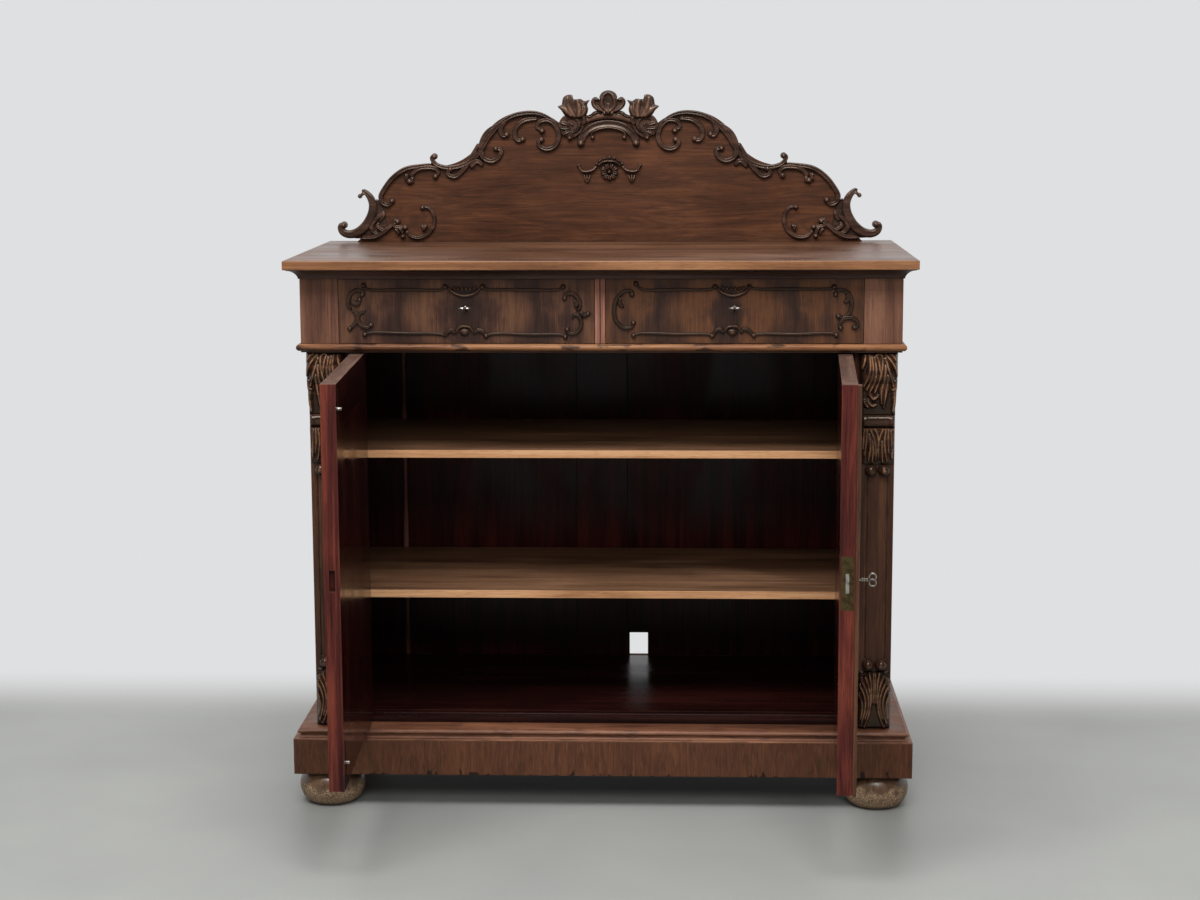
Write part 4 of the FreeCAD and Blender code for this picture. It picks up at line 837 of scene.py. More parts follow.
# Gallery carving, in millimetres from the middle of the table top
RIM = [(118, 262), (134, 280), (160, 291), (190, 292), (222, 284), (250, 264), (272, 240), (288, 214),
       (304, 193), (326, 178), (352, 170), (376, 170), (396, 178), (404, 192), (397, 198)]
LOW_RIM = [(407, 177), (434, 173), (466, 166), (494, 147), (514, 122), (523, 104), (519, 90), (506, 85),
           (497, 95)]
HOOKS = [
    [(150, 254), (163, 261), (157, 272), (137, 276), (120, 263), (113, 241), (120, 220), (138, 211),
     (155, 216), (160, 227), (152, 232)],
    [(160, 280), (190, 276), (209, 262), (214, 244), (207, 231), (195, 232)],
    [(230, 278), (243, 264), (246, 251), (239, 241), (231, 244)],
    [(252, 268), (278, 248), (291, 218), (286, 192), (267, 184), (250, 193), (245, 209), (257, 213)],
    [(296, 224), (312, 195), (333, 164), (352, 149), (368, 155), (363, 167)],
    [(286, 173), (300, 184), (317, 169)],
    [(395, 150), (389, 159), (398, 168), (416, 170), (434, 167), (447, 158), (453, 146)],
]
CORNER_HOOK = [(427, 80), (414, 79), (404, 68), (400, 50), (406, 30), (422, 15), (441, 10), (456, 15),
               (466, 27)]
HOOK_EYES = [(151, 252), (153, 232), (196, 233), (232, 244), (257, 212), (362, 166), (398, 195),
             (497, 94), (396, 150)]
HOOK_EYE_SIZE = (7.4, 11)
# Leaves and buds among the scrolls: lines with their widths, and places with their radii
SPRIGS = [
    ([(464, 158), (462, 148), (466, 139)], 10), ([(446, 150), (451, 143), (447, 134)], 9),
    ([(514, 72), (524, 62), (538, 49), (546, 36), (541, 24), (527, 19)], 12),
    ([(515, 70), (519, 57), (528, 47)], 10), ([(528, 47), (531, 37), (521, 28), (510, 27)], 10),
    ([(572, 9), (540, 12), (519, 22), (503, 35), (488, 46)], 12), ([(500, 38), (494, 48), (484, 54)], 9),
    ([(497, 37), (484, 35), (470, 34)], 10), ([(484, 36), (476, 27), (473, 15)], 9),
    ([(492, 33), (484, 24), (483, 15)], 8), ([(427, 24), (424, 33), (430, 40)], 9),
]
BUDS = [(456, 139, 8), (473, 13, 6), (421, 36, 5.5), (485, 47, 7.5), (468, 33, 6.5), (427, 79, 6.5)]
BUD_HEIGHT = 11
CORNER = [(567, 119), (557, 113), (547, 101), (541.5, 85), (543, 68), (551, 49), (563, 33), (581, 21),
          (600, 18), (613, 24), (616, 35), (609, 42)]
CORNER_TIP = [(556, 112), (563, 111), (570, 105)]
CORNER_EYES = [((609, 39), 8.5, 16), ((571, 105), 5.5, 12)]
CORNER_WEB = [(533, 98), (536, 70), (548, 42), (566, 22), (590, 10), (560, 8), (534, 10), (516, 18),
              (510, 34), (514, 60), (520, 84)]
CREST_ARCH = arch([(0, 267), (27, 263), (46, 253), (59, 239), (63, 224)])
INNER_ARCH = arch([(0, 259), (26, 254), (38, 246), (36, 238)])
# The eyes at the arches' ends, with their radii and heights
ARCH_EYES = [((36, 237), 5.5, 11), ((63, 224), 9, 12)]
# The crest's leaves, each an outline with the lines of its lobes, and the foliage below them
PALMETTE_HALF = [(10, 286), (14, 293), (24, 296), (34, 303), (39, 313), (38, 322), (31, 328), (24, 326),
                 (19, 319), (20, 329), (14, 338)]
PALMETTE = [(0, 283)] + PALMETTE_HALF + [(0, 343)] + mirrored([PALMETTE_HALF[::-1]])[0]
LOBES_HALF = [[(9, 291), (24, 300), (34, 311), (33, 322), (24, 322)],
              [(0, 293), (12, 305), (15, 319), (9, 333), (0, 339)]]
PALMETTE_LOBES = LOBES_HALF + mirrored(LOBES_HALF) + [[(0, 292), (0, 300), (0, 308)]]
CREST_LEAF = [(62, 280), (50, 288), (46, 300), (48, 311), (43, 321), (54, 319), (64, 324), (72, 323),
              (80, 324), (82, 332), (93, 333), (102, 327), (105, 316), (106, 311), (115, 307), (107, 298),
              (99, 287), (82, 280)]
CREST_LOBES = [
    [(84, 286), (97, 297), (112, 306)], [(77, 285), (88, 304), (93, 328)],
    [(67, 285), (65, 302), (70, 321)], [(58, 285), (51, 302), (46, 318)],
]
CREST_MASS = [(60, 288), (86, 290), (101, 286), (111, 274), (114, 259), (106, 245), (91, 238), (75, 244),
              (63, 257), (55, 273)]
CREST_BED = arch([(0, 287), (30, 283), (60, 271)])
CREST_FOLIAGE = [
    ([(14, 286), (21, 293), (30, 293), (38, 287), (47, 284), (54, 289)], 8, 13),
    ([(97, 275), (88, 281), (78, 281), (69, 275), (66, 266), (70, 256), (80, 250), (92, 251)], 8, 15),
    ([(85, 264), (98, 268), (111, 273)], 11, 14), ([(84, 258), (98, 258), (113, 259)], 11, 14),
    ([(85, 253), (97, 248), (107, 243)], 11, 14), ([(56, 268), (62, 254), (74, 243), (87, 236)], 8, 13),
    ([(62, 264), (54, 275), (57, 288)], 11, 15),
]
CREST_EYES = [(88, 236, 6), (82, 266, 4)]
CREST_EYE_HEIGHT = 14
CREST_DEPTH = -9
FLOWER = np.array((2, 159))
ROSETTE_ARCH = [(-25, 173), (-14, 181), (2, 184), (18, 181), (28, 173)]
ROSETTE_WING = [(31, 173), (39, 164), (52, 160), (65, 162), (72, 174)]
ROSETTE_DROPS = [
    [(46, 153), (48, 145), (52, 135)], [(53, 154), (53, 146), (53, 134)],
    [(60, 153), (58, 145), (54, 135)],
]
ROSETTE_SHIFT = (4, 0, 0)
WING_EYE_SIZE, FLOWER_EYE_SIZE = (4.5, 10), (5.5, 14)
# The rosette's fringe and petals: how many, and where they start and end from the flower's middle
FRINGE = 9
FRINGE_ROOT, FRINGE_TIP = (31, 27), (39, 37)
PETALS = 9
PETAL_PLACES = (5, 13, 21)
# How ridges are cut: width and height unless their lines have them, swell, groove and hollow
RIM_CUT = (12, 11, (0.5, 0.9, 1, 1, 1, 0.8), 0.45)
HOOK_CUT = (13, 10, (0.6, 0.9, 1, 0.95, 0.8), 0.3, 0.35)
CORNER_HOOK_CUT = (10, 10, (0.6, 0.9, 1, 0.95, 0.8), 0.25, 0.35)
SPRIG_CUT = (12, (0.5, 1, 1, 0.6), 0.25)
ARCH_CUT = (21, 11, (0.9, 0.95, 1, 0.95, 0.9), 0.6, 0.55)
INNER_ARCH_CUT = (5.5, 10)
CORNER_CUT = (23, 15, (0.4, 0.7, 0.9, 0.95, 1, 0.9, 0.75, 0.7), 0.25, 0.4)
CORNER_TIP_CUT = (8, 11)
FOLIAGE_CUT = ((0.45, 0.8, 1, 0.9, 0.45), 0.3)
BED_CUT = (19, 8)
WING_CUT = (8, 11, (0.7, 1, 0.8, 0.6))
DROP_CUT = (6, 9, (0.6, 1, 0.4))
ROSETTE_ARCH_CUT = (6, 14)
FRINGE_CUT = (8, 10, (0.8, 1, 0.7), 0.3)
PETAL_CUT = (11, 12, (0.5, 0.9, 1), 0.5)
# How leaves and webs are crowned: middle, height of the edge, crown, and half width and rise of strokes
WEB_CUT = ((535, 40), 1, 1.5)
MASS_CUT = ((84, 264), 4, 3)
LEAF_CUT = ((77, 302), 6, 4, CREST_LOBES, 12, 9)
PALMETTE_CUT = ((0, 306), 6, 5, PALMETTE_LOBES, 6, 8)
GALLERY_PLACE = face_at((0, GALLERY_FACE, TABLE_TOP))


def add_to_gallery(name, node, carving):
    add_carving(name, carving, "carcass", [node], GALLERY_PLACE, finish=GALLERY_CARVING)


def add_gallery():
    scrolls = Carving()
    for line in (RIM, LOW_RIM):
        scrolls.ridge(line, *RIM_CUT)
    for line in HOOKS:
        scrolls.ridge(line, *HOOK_CUT)
    scrolls.ridge(CORNER_HOOK, *CORNER_HOOK_CUT)
    for place in HOOK_EYES:
        scrolls.ball(place, *HOOK_EYE_SIZE)
    for line, width in SPRIGS:
        scrolls.ridge(line, width, *SPRIG_CUT)
    for *place, radius in BUDS:
        scrolls.ball(place, radius, BUD_HEIGHT)
    scrolls.mirror()
    scrolls.ridge(CREST_ARCH, *ARCH_CUT)
    scrolls.ridge(INNER_ARCH, *INNER_ARCH_CUT)
    for (x, z), radius, height in ARCH_EYES:
        for sign in SIDES.values():
            scrolls.ball((sign * x, z), radius, height)
    add_to_gallery("gallery_scroll_carving", "gallery_scrolls", scrolls)

    corners = Carving()
    corners.plate(CORNER_WEB, *WEB_CUT)
    corners.ridge(CORNER, *CORNER_CUT)
    for eye in CORNER_EYES:
        corners.ball(*eye)
    corners.ridge(CORNER_TIP, *CORNER_TIP_CUT)
    corners.mirror()
    add_to_gallery("gallery_corner_carving", "gallery_corner_scrolls", corners)

    crest = Carving(CREST_DEPTH)
    crest.plate(CREST_MASS, *MASS_CUT)
    crest.plate(CREST_LEAF, *LEAF_CUT)
    for line, width, height in CREST_FOLIAGE:
        crest.ridge(line, width, height, *FOLIAGE_CUT)
    for *place, radius in CREST_EYES:
        crest.ball(place, radius, CREST_EYE_HEIGHT)
    crest.mirror()
    crest.ridge(CREST_BED, *BED_CUT)
    crest.plate(PALMETTE, *PALMETTE_CUT)
    add_to_gallery("gallery_crest_carving", "gallery_crest", crest)

    rosette = Carving()
    rosette.ridge(ROSETTE_WING, *WING_CUT)
    rosette.ball(ROSETTE_WING[-1], *WING_EYE_SIZE)
    for line in ROSETTE_DROPS:
        rosette.ridge(line, *DROP_CUT)
    rosette.mirror(shift=ROSETTE_SHIFT)
    rosette.ridge(ROSETTE_ARCH, *ROSETTE_ARCH_CUT)
    for turn in np.linspace(0.1, 0.9, FRINGE) * math.pi:
        ray = np.array((-math.cos(turn), math.sin(turn)))
        root, tip = FLOWER + ray * FRINGE_ROOT, FLOWER + ray * FRINGE_TIP
        rosette.ridge([root, (root + tip) / 2, tip], *FRINGE_CUT)
    for turn in np.linspace(0, 2 * math.pi, PETALS, endpoint=False):
        ray = np.array((math.sin(turn), -math.cos(turn)))
        rosette.ridge([FLOWER + place * ray for place in PETAL_PLACES], *PETAL_CUT)
    rosette.ball(FLOWER, *FLOWER_EYE_SIZE)
    add_to_gallery("gallery_rosette_carving", "gallery_rosette", rosette)


# Drawer carving, in millimetres from the middle of each drawer front
DRAWER_LINES = {
    "left": [
        [(-212, 54), (-210, 49), (-199, 45), (-118, 45), (-52, 45), (-43, 50)],
        [(34, 50), (43, 46), (96, 45), (177, 44), (194, 45), (201, 50)],
        [(-211, -48), (-203, -45), (-118, -46), (-52, -48), (-44, -52)],
        [(41, -51), (53, -47), (130, -48), (198, -49), (205, -52)],
    ],
    "right": [
        [(-202, 57), (-199, 51), (-188, 45), (-117, 45), (-48, 46), (-40, 51)],
        [(30, 51), (39, 47), (111, 46), (189, 46), (199, 47), (204, 51)],
        [(-207, -50), (-198, -46), (-117, -47), (-52, -48), (-46, -51)],
        [(40, -50), (50, -47), (127, -47), (201, -46), (209, -49)],
    ],
}
DRAWER_CURLS = {
    "left": [
        [(-215, 35), (-213, 40), (-225, 44), (-238, 37), (-244, 24), (-244, 12), (-238, 4)],
        [(-239, 24), (-231, 15), (-222, 17), (-221, 24)],
        [(-238, 3), (-227, -6), (-225, -16), (-233, -27), (-243, -36)],
        [(-208, 1), (-218, -3), (-225, -13), (-220, -27), (-208, -34), (-197, -29)],
        [(203, 27), (209, 36), (222, 36), (233, 24), (236, 9), (228, 1)],
        [(222, 26), (229, 15), (224, 7)], [(236, 1), (245, -9), (253, -5)],
        [(220, -16), (224, -7), (235, -12), (238, -29), (229, -43), (215, -46), (208, -38)],
        [(-44, -53), (-39, -43), (-30, -39), (-22, -47)], [(15, -47), (23, -39), (34, -42), (41, -51)],
    ],
    "right": [
        [(-211, 35), (-212, 42), (-227, 41), (-241, 28), (-248, 5), (-244, -19), (-229, -33), (-213, -33),
         (-208, -24)],
        [(-234, 30), (-236, 16), (-228, 8)],
        [(207, 34), (209, 42), (221, 44), (235, 34), (240, 15), (235, -3), (223, -13), (213, -9)],
        [(232, 36), (232, 24), (223, 18)],
        [(218, -35), (215, -27), (225, -15), (240, -13), (252, -21), (252, -31), (245, -33)],
        [(-46, -51), (-40, -42), (-29, -37), (-21, -46)], [(11, -46), (20, -37), (30, -40), (40, -50)],
    ],
}
DRAWER_EYES = {
    "left": [(-212, 54), (-43, 51), (34, 51), (201, 51), (-211, -48), (41, -51), (205, -53), (-215, 35),
             (-242, -36), (-198, -29), (204, 27), (252, -5), (209, -38), (-221, 24)],
    "right": [(-203, 57), (-40, 51), (30, 51), (204, 51), (-208, -50), (-46, -51), (40, -50), (209, -49),
              (-211, 35), (-208, -24), (207, 35), (213, -10), (218, -34), (246, -33)],
}
DRAWER_SHELL = [(-37, 50), (-27, 40), (-11, 33), (5, 33), (22, 40), (32, 50)]
CABOCHON_PLACE = (-4, -43)
CABOCHON_RIM = [(-22, -44), (-14, -33), (-4, -31), (7, -33), (15, -44)]
# The shell's ribs: how many, their middle, and at each end how far they spread, their level and its lift
SHELL_RIBS = 6
SHELL_MIDDLE = -3
RIB_ENDS = [(19, 40, 4), (23, 51, 2)]
# How ridges are cut, as on the gallery, and how big round and oval knobs are
LINE_CUT = (6.4, 4.4, (0.9, 1, 1, 0.9), 0.15)
CURL_CUT = (9, 6.5, (0.6, 1, 1, 0.7), 0.25)
SHELL_CUT = (8, 6.5, (0.7, 1, 1, 0.7))
RIB_CUT = (7, 4.5, (0.8, 1, 0.6))
CABOCHON_RIM_CUT = (6.5, 5.5)
DRAWER_EYE_SIZE = (5.6, 6.8)
CABOCHON_SIZE = (8, 6.5, 1.4)


def add_drawer_carving(side):
    carving = Carving()
    for line in DRAWER_LINES[side]:
        carving.ridge(line, *LINE_CUT)
    for line in DRAWER_CURLS[side]:
        carving.ridge(line, *CURL_CUT)
    for place in DRAWER_EYES[side]:
        carving.ball(place, *DRAWER_EYE_SIZE)
    carving.ridge(DRAWER_SHELL, *SHELL_CUT)
    for share in np.linspace(-1, 1, SHELL_RIBS):
        rib = [(SHELL_MIDDLE + spread * share, level + lift * share ** 2) for spread, level, lift in RIB_ENDS]
        carving.ridge(rib, *RIB_CUT)
    carving.ball(CABOCHON_PLACE, *CABOCHON_SIZE)
    carving.ridge(CABOCHON_RIM, *CABOCHON_RIM_CUT)
    add_front_carving(f"{side}_drawer", carving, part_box(f"{side}_drawer_front"), DRAWER_CARVING)


# Plinth moulding, a torus over a cove: how far each point stands out from the case and up, in millimetres
PLINTH_OVERHANG = 45.5
FILLER_LAP = 6
PLINTH_PROFILE = [(0, 0), (45.5, 0), (45.5, 1.6), (44.6, 2.4), (40, 2.4), (35.5, 3.4), (32.6, 6),
                  (31.6, 9), (31.8, 11.2), (34.6, 12), (36.6, 13.4), (37.6, 15.4), (37.2, 17.6),
                  (35.4, 19.8), (32, 21.6), (27, 23), (20, 24.2), (12, 25), (0, 25)]


def add_plinth_moulding():
    low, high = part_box("plinth_moulding")
    side, front = high.x - PLINTH_OVERHANG * MM, low.y + PLINTH_OVERHANG * MM
    work = bmesh.new()
    rows = []
    for out, up in PLINTH_PROFILE:
        x, y, z = side + out * MM, front - out * MM, low.z + up * MM
        corners = ((-x, high.y, z), (-x, y, z), (x, y, z), (x, high.y, z))
        rows.append([work.verts.new(corner) for corner in corners])
    for lower, upper in zip(rows, rows[1:] + rows[:1]):
        for i in range(3):
            face = work.faces.new((lower[i], lower[i + 1], upper[i + 1], upper[i]))
            face.smooth = True
    for end in (0, 3):
        work.faces.new([row[end] for row in rows])
    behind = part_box("front_stiles")[0].y + FILLER_LAP * MM
    filler = Matrix.Diagonal((2 * side, behind - front, high.z - low.z, 1))
    place = Matrix.Translation((0, (behind + front) / 2, (low.z + high.z) / 2))
    bmesh.ops.create_cube(work, size=1, matrix=place @ filler)
    bmesh.ops.recalc_face_normals(work, faces=work.faces)
    write_grain(work)
    mesh = to_mesh(work, "plinth_moulding")
    mesh.set_sharp_from_angle(angle=EDGE_ANGLE)
    slot = slot_of("plinth_moulding")
    add_piece("plinth_moulding_finished", mesh, [LEDGE], "carcass", slot, "plinth_moulding")


# Door carving: a scrolled frame on the panel's outer face, drawn as when the door is shut
DOOR_MARGIN = 34
DOOR_CURL = 60
DOOR_EYE_PLACE = (-0.72, -0.26)
DOOR_EYE_SIZE = (6.5, 9)
DOOR_LINE_CUT = (10, 7, (1, 1), 0.35)
DOOR_CURL_CUT = ((0.7, 1, 1, 0.6), 0.3)
# Each line of a corner, in shares of the curl from the frame's own corner, with its width and height
DOOR_CORNER = [
    ([(-1.05, 0), (-0.73, 0.02), (-0.5, -0.1), (-0.42, -0.33), (-0.58, -0.5), (-0.78, -0.42),
      (-0.76, -0.26)], 9, 8),
    ([(-0.42, -0.36), (-0.3, -0.14), (-0.28, 0.06)], 11, 9),
    ([(-0.4, -0.4), (-0.2, -0.2), (0.02, 0.02)], 13, 10),
]


def add_door_carving(side):
    low, high = shut_box(f"{side}_door_panel")
    half_x, half_z = (extent / 2 / MM - DOOR_MARGIN for extent in (high.x - low.x, high.z - low.z))

    def in_corner(points, flip):
        """Points of a corner on the panel, on the other side of its diagonal if flipped."""
        turned = [point[::-1] if flip else point for point in points]
        return [(half_x + x * DOOR_CURL, half_z + z * DOOR_CURL) for x, z in turned]

    carving = Carving()
    carving.ridge([(0, half_z), (half_x - DOOR_CURL, half_z)], *DOOR_LINE_CUT)
    carving.ridge([(half_x, 0), (half_x, half_z - DOOR_CURL)], *DOOR_LINE_CUT)
    for flip in (False, True):
        for shape, width, height in DOOR_CORNER:
            carving.ridge(in_corner(shape, flip), width, height, *DOOR_CURL_CUT)
        carving.ball(*in_corner([DOOR_EYE_PLACE], flip), *DOOR_EYE_SIZE)
    carving.mirror()
    carving.mirror(flip=(1, -1, 1))
    add_front_carving(f"{side}_door", carving, (low, high))


# Pilaster carving: strokes over a shaped block, in percent of its half width and height
PERCENT = 0.01
CORBEL_STROKES = [
    [(-76, 95), (-82, 85), (-94, 74)], [(-55, 96), (-50, 78), (-62, 60), (-84, 46)],
    [(-42, 94), (-35, 74), (-43, 57), (-68, 40)], [(-27, 92), (-19, 71), (-26, 53), (-52, 36)],
    [(-18, 95), (-4, 98), (12, 94), (15, 85), (10, 70), (-4, 52), (-24, 36)],
    [(-12, 92), (-3, 82), (2, 68)], [(30, 97), (57, 88), (82, 76), (95, 63)],
    [(30, 90), (48, 73), (64, 58), (80, 45)], [(52, 98), (70, 95), (88, 86)],
    [(30, 78), (26, 56), (14, 38), (16, 18)], [(44, 62), (42, 44), (36, 27), (30, 12)],
    [(90, 52), (94, 43), (74, 40)], [(-82, 20), (-62, 13)], [(-60, 21), (-36, 15), (-14, 17)],
    [(84, 36), (90, 22), (84, 6)], [(-50, 32), (-30, 26), (-6, 30)],
]
CAPITAL_STROKES = [
    [(-86, 95), (-90, 72), (-94, 42)], [(-68, 93), (-74, 62), (-82, 25)],
    [(-56, 80), (-48, 50), (-58, 10)], [(-47, 95), (-27, 72), (-14, 42), (-12, 12)],
    [(-20, 96), (-4, 80), (0, 62), (-4, 30)], [(26, 96), (10, 77), (1, 47), (5, 15)],
    [(44, 93), (38, 67), (43, 42), (56, 10)], [(60, 95), (60, 62), (68, 30)],
    [(76, 90), (83, 55), (86, 18)], [(94, 96), (95, 72), (97, 45)], [(-36, 66), (-30, 36), (-36, 8)],
    [(24, 60), (24, 36), (30, 8)],
]
BASE_HALF = [
    [(80, 85), (50, 68), (36, 52), (37, 37), (55, 18)],
    [(91, 76), (67, 63), (54, 47), (58, 32), (76, 10)], [(94, 60), (78, 48), (74, 36), (82, 18)],
    [(55, 90), (36, 75), (24, 56), (24, 38), (38, 20), (60, 3)], [(32, 98), (22, 82), (17, 62), (14, 46)],
    [(6, 95), (5, 70), (5, 46)],
]
BASE_STROKES = BASE_HALF + mirrored(BASE_HALF)
SHAFT_WIDTH = 70
CORBEL_FLARE = 8
NECK_HEIGHT = 26
BALL_RADIUS = 13
BALL_APART = 27.4
BALL_HEIGHT = 17
# Relief of the blocks' ground between strokes: the lower, the darker its painted shade
GROUND = 0.22
# Each block's depth at its foot and top, how much less wide than the shaft it is there, and half the
# width of its strokes
CAPITAL_DEPTHS, CAPITAL_INSETS, CAPITAL_STROKE = (3, 10), (4, 1), 6
BASE_DEPTHS, BASE_INSETS, BASE_STROKE = (11, 3), (1, 3), 5.6
LEAF_RISE = 6
NECK_INSETS, NECK_DEPTH, NECK_GROOVE = (1, 1), 12, 1.6
# The corbel's depth at its foot, and how much its swell and the roll at its top add
CORBEL_DEPTH, CORBEL_SWELL, CORBEL_ROLL = 2, 9, 8
CORBEL_STROKE, CORBEL_RISE = 7, 7
CORBEL_HEIGHT = (CORBEL_HIGH.z - CORBEL_LOW.z) / MM


def strokes_over(across, up, width, height, strokes, half, rise):
    """How far carved strokes stand out of a block's face, and their relief from 0 to 1."""
    lines = [[(a * PERCENT * width / 2, b * PERCENT * height) for a, b in stroke] for stroke in strokes]
    crest = stroke_crest(across * width / 2, up * height, lines, half)
    return crest * rise, GROUND + (1 - GROUND) * crest


def edge_fall(across, up, side=0.12, ends=0.04):
    """One over a block's face, falling round its edges."""
    sides = np.clip((1 - np.abs(across)) / side, 0, 1)
    tops = np.clip(np.minimum(up, 1 - up) / ends, 0, 1)
    return np.sqrt(1 - (1 - sides) ** 2) * np.sqrt(1 - (1 - tops) ** 2)


def corbel_face(across, up):
    swell = CORBEL_SWELL * np.clip(up / 0.62, 0, 1) ** 1.6
    roll = CORBEL_ROLL * np.sin(np.clip((up - 0.5) / 0.5, 0, 1) * math.pi) ** 0.8
    size = (SHAFT_WIDTH + CORBEL_FLARE, CORBEL_HEIGHT)
    stroke, relief = strokes_over(across, up, *size, CORBEL_STROKES, CORBEL_STROKE, CORBEL_RISE)
    return (CORBEL_DEPTH + swell + roll) * edge_fall(across, up, side=0.2) + stroke, relief


def leaf_face(strokes, height, depths, half):
    def out(across, up):
        ground = depths[0] + (depths[1] - depths[0]) * up ** 1.5
        stroke, relief = strokes_over(across, up, SHAFT_WIDTH, height, strokes, half, LEAF_RISE)
        return ground * edge_fall(across, up, side=0.25) + stroke, relief
    return out


def neck_face(across, up):
    ends = np.clip((np.abs(across) - 0.62) / 0.38, 0, 1)
    band = np.exp(-((up - 0.5) / 0.3) ** 2) * (1 - np.clip(ends * 4, 0, 1))
    depth = NECK_DEPTH * edge_fall(across, up, side=0.16, ends=0.5) - NECK_GROOVE * band
    return depth, np.clip(depth / NECK_DEPTH, 0.4, 0.9)


def corbel_width(up):
    return SHAFT_WIDTH + CORBEL_FLARE * np.clip((up - 0.1) / 0.5, 0, 1)


def width_with(insets):
    """A block's width at each height, from how much less than the shaft's it is at foot and top."""
    return lambda up: SHAFT_WIDTH - insets[0] + (insets[0] - insets[1]) * up


def add_pilaster_carving():
    base_height = (BASE_HIGH.z - BASE_LOW.z) / MM - 2 * BALL_RADIUS
    capital_top = CORBEL_LOW.z - NECK_HEIGHT * MM
    capital_height = (capital_top - CAPITAL_LOW.z) / MM - 2 * BALL_RADIUS
    middle = PILASTER_HIGH.x - SHAFT_WIDTH * MM / 2
    corbel, neck, capital, base, balls = (Carving() for _ in range(5))
    corbel.field(corbel_width, CORBEL_HEIGHT, corbel_face)
    neck.field(width_with(NECK_INSETS), NECK_HEIGHT, neck_face, columns=60, rows=40)
    capital_face = leaf_face(CAPITAL_STROKES, capital_height, CAPITAL_DEPTHS, CAPITAL_STROKE)
    capital.field(width_with(CAPITAL_INSETS), capital_height, capital_face)
    base_face = leaf_face(BASE_STROKES, base_height, BASE_DEPTHS, BASE_STROKE)
    base.field(width_with(BASE_INSETS), base_height, base_face)
    for sign in SIDES.values():
        balls.ball((sign * BALL_APART / 2, 0), BALL_RADIUS, BALL_HEIGHT)
    levels = {
        "corbel": (corbel, CORBEL_LOW.z, ["corbels"]),
        "neck": (neck, capital_top, []),
        "capital": (capital, capital_top - capital_height * MM, ["capitals"]),
        "capital_balls": (balls, CAPITAL_LOW.z + BALL_RADIUS * MM, []),
        "base": (base, BASE_LOW.z, ["bases"]),
        "base_balls": (balls, BASE_HIGH.z - BALL_RADIUS * MM, []),
    }
    for name, (carving, level, nodes) in levels.items():
        places = [face_at((sign * middle, PILASTER_LOW.y, level), across=(sign, 0, 0))
                  for sign in SIDES.values()]
        add_carving(f"{name}_carving", carving, "carcass", nodes, *places)


# A half-round bead on the inner edge of the back's left stile, in millimetres, its pale tone partly a painted
# highlight
BEAD_PLACE = -480
BEAD_WIDTH = 12
BEAD_HEIGHT = 6
BEAD_TENON = 5


def add_back_bead():
    floor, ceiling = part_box("bottom_board")[1].z / MM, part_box("dust_board")[0].z / MM
    ends = [(BEAD_PLACE, floor - BEAD_TENON), (BEAD_PLACE, ceiling + BEAD_TENON)]
    bead = Carving()
    bead.ridge(ends, BEAD_WIDTH, BEAD_HEIGHT, (1, 1))
    mesh = bead.mesh("back_bead", face_at((0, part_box("back_frame")[0].y, 0)))
    add_piece("back_bead", mesh, [BACK_BEAD], "carcass", slot_of("back_frame"))


# Fittings: collars and a ball turned on each key's shank, and the screws of the door's lock plate
KEY_PROFILE = [(7, 2.3), (7.3, 3.9), (8.6, 3.9), (8.9, 2.5), (10.6, 2.5), (10.9, 3.9), (12.2, 3.9),
               (12.5, 2.5), (15, 2.5), (15.8, 3.2), (17.2, 3.7), (18.6, 3.2), (19.4, 2.3)]
SCREW_SIZE = (3.4, 0.9)
SCREW_INSET = 11


def add_fine_fittings():
    collars = Carving()
    collars.turned(KEY_PROFILE, np.ones(len(KEY_PROFILE)))
    for name in LOCKED:
        key = f"{name}_key"
        axis = Vector(JOINTS[f"{key}_turn"]["axis"])
        away = axis.orthogonal().normalized()
        face = face_at(JOINTS[f"{key}_turn"]["pos_m"], away, axis.cross(away), axis)
        mesh = collars.mesh(f"{key}_collars", face)
        add_piece(f"{key}_collars", mesh, [STEEL], body_of(key), slot_of(key))
    low, high = shut_box("right_door_lock_case")
    screws = Carving()
    for level in (SCREW_INSET, (high.z - low.z) / MM - SCREW_INSET):
        screws.ball((0, level), *SCREW_SIZE)
    edge = face_at((low.x, (low.y + high.y) / 2, low.z), (0, -1, 0), (0, 0, 1), (-1, 0, 0))
    mesh = screws.mesh("right_door_lock_screws", door_turn("right_door") @ edge)
    add_piece("right_door_lock_screws", mesh, [BRASS], "right_door", slot_of("right_door_lock_case"))


# Stage, light and world
PALE = (0.74, 0.745, 0.755, 1.0)
FLOOR_REACH = 60.0
# Where the floor fades into the pale background: behind, beside and before the object
FADE_BACK = (0.62, 1.1)
FADE_SIDE = (2.4, 4.5)
FADE_FRONT = (3.5, 6.0)
# How bright the background is: as light from level and from above, and as a reflection before the object
SKY_LOW, SKY_HIGH = 0.1, 0.42
DIM = 0.05
# Lamps: place, aim, width, height and power, and the ones that don't show in reflections
MIDDLE = (0, 0, 0.7)
LAMPS = {
    "key": ((-0.3, -2.0, 3.9), MIDDLE, 3.0, 1.3, 180),
    "ceiling": ((0, 0.4, 4.2), (0, 0.4, 0), 4.0, 2.0, 60),
    "front": ((0.3, -4.8, 3.4), MIDDLE, 3.0, 1.6, 105),
    "back": ((0.4, 5.2, 3.0), MIDDLE, 3.0, 1.8, 80),
}
UNREFLECTED = ("front", "back")


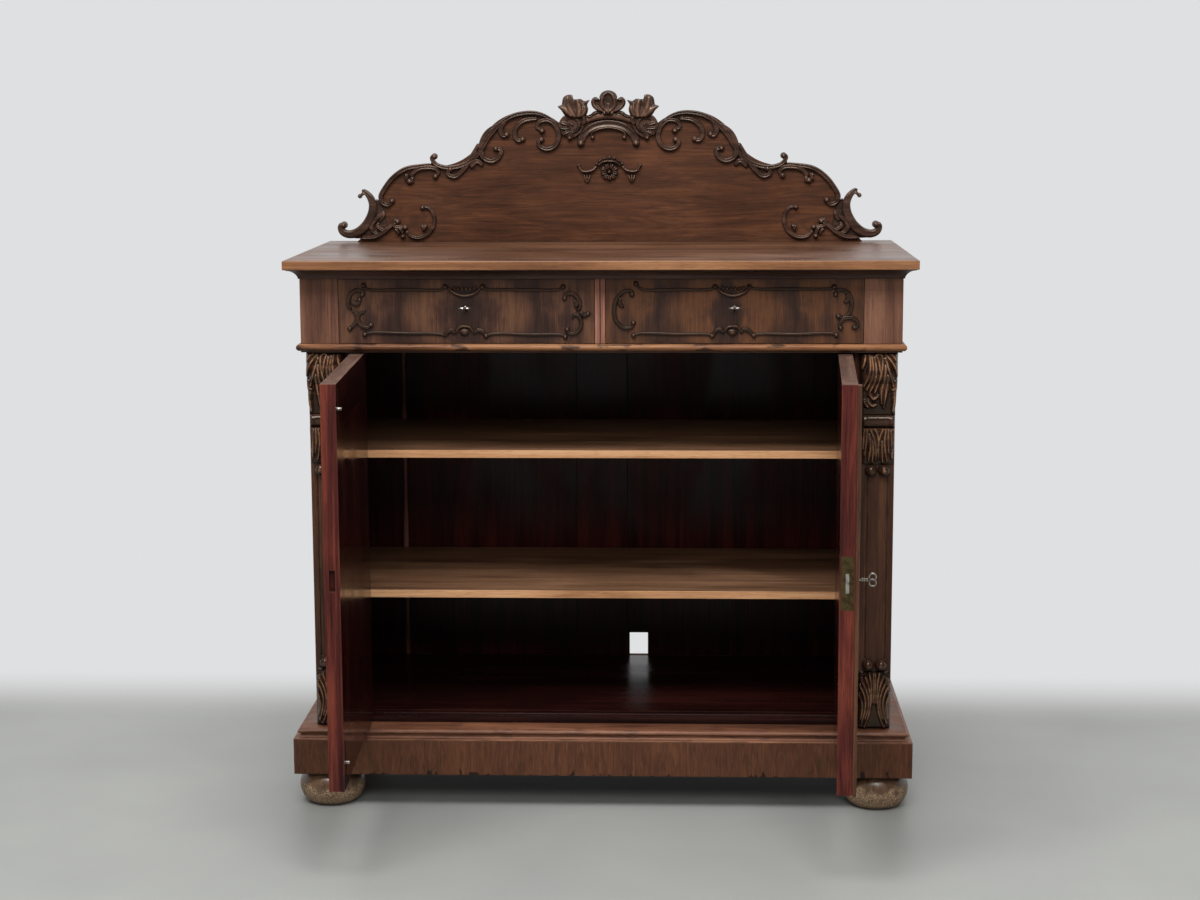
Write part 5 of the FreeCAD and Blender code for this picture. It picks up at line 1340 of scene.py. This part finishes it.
def add_stage():
    mesh = bpy.data.meshes.new("floor")
    corners = [(x * FLOOR_REACH, y * FLOOR_REACH, 0) for x, y in ((-1, -1), (1, -1), (1, 1), (-1, 1))]
    mesh.from_pydata(corners, [], [(0, 1, 2, 3)])
    floor = add_object("floor", mesh)
    shader = shader_of_new("floor")
    place = shader.place()
    specks = shader.noise(place, (2.4, 2.4, 1), 5)
    shade = shader.ramp(specks, (0.35, tone(145, 146, 143)), (0.65, tone(151, 152, 148)))
    shader.finish(base_color=shade, roughness=0.45, specular_ior_level=0.2)
    parts = shader.parts(place)
    back = shader.remap(parts["Y"], *FADE_BACK)
    front = shader.remap(shader.times(parts["Y"], -1), *FADE_FRONT)
    side = shader.remap(shader.math("ABSOLUTE", parts["X"]), *FADE_SIDE)
    fade = shader.times(shader.largest(back, front, side), shader.rays("Camera", "Glossy", "Transmission"))
    glow = shader.add("Emission", {"Color": PALE, "Strength": 1.0}).outputs[0]
    both = shader.add("MixShader", {0: fade, 1: shader.surface.outputs[0], 2: glow}).outputs[0]
    shader.feed(shader.tree.nodes["Material Output"].inputs["Surface"], both)
    mesh.materials.append(shader.owner)


def add_world():
    """A pale background that lights mostly from above, and reflections of it dim before the object."""
    world = bpy.data.worlds.new("world")
    bpy.context.scene.world = world
    shader = Shader(world, "Background")
    way = shader.parts(shader.add("TexCoord").outputs["Generated"])
    sky = shader.remap(way["Z"], 0.0, 0.7, SKY_LOW, SKY_HIGH)
    room = shader.remap(way["Y"], -0.3, 0.5, DIM, 1.0)
    reflected = shader.times(shader.rays("Glossy"), shader.math("SUBTRACT", room, sky))
    shown = shader.times(shader.rays("Camera", "Transmission"), shader.math("SUBTRACT", 1.0, sky))
    shader.finish(color=PALE, strength=shader.math("ADD", shader.math("ADD", shown, reflected), sky))


def add_lights():
    for name, (place, aim, width, height, power) in LAMPS.items():
        data = bpy.data.lights.new(name, "AREA")
        data.shape = "RECTANGLE"
        data.size, data.size_y, data.energy = width, height, power
        lamp = add_object(name, data)
        lamp.location = place
        lamp.rotation_euler = (Vector(aim) - Vector(place)).to_track_quat("-Z", "Y").to_euler()
        lamp.visible_glossy = name not in UNREFLECTED


add_camera()
add_case()
add_plinth_moulding()
add_doors()
add_drawers()
add_fittings()
add_gallery()
for side in SIDES:
    add_drawer_carving(side)
    add_door_carving(side)
add_pilaster_carving()
add_fine_fittings()
add_back_bead()
add_stage()
add_world()
add_lights()
bpy.context.scene.view_settings.view_transform = "Standard"
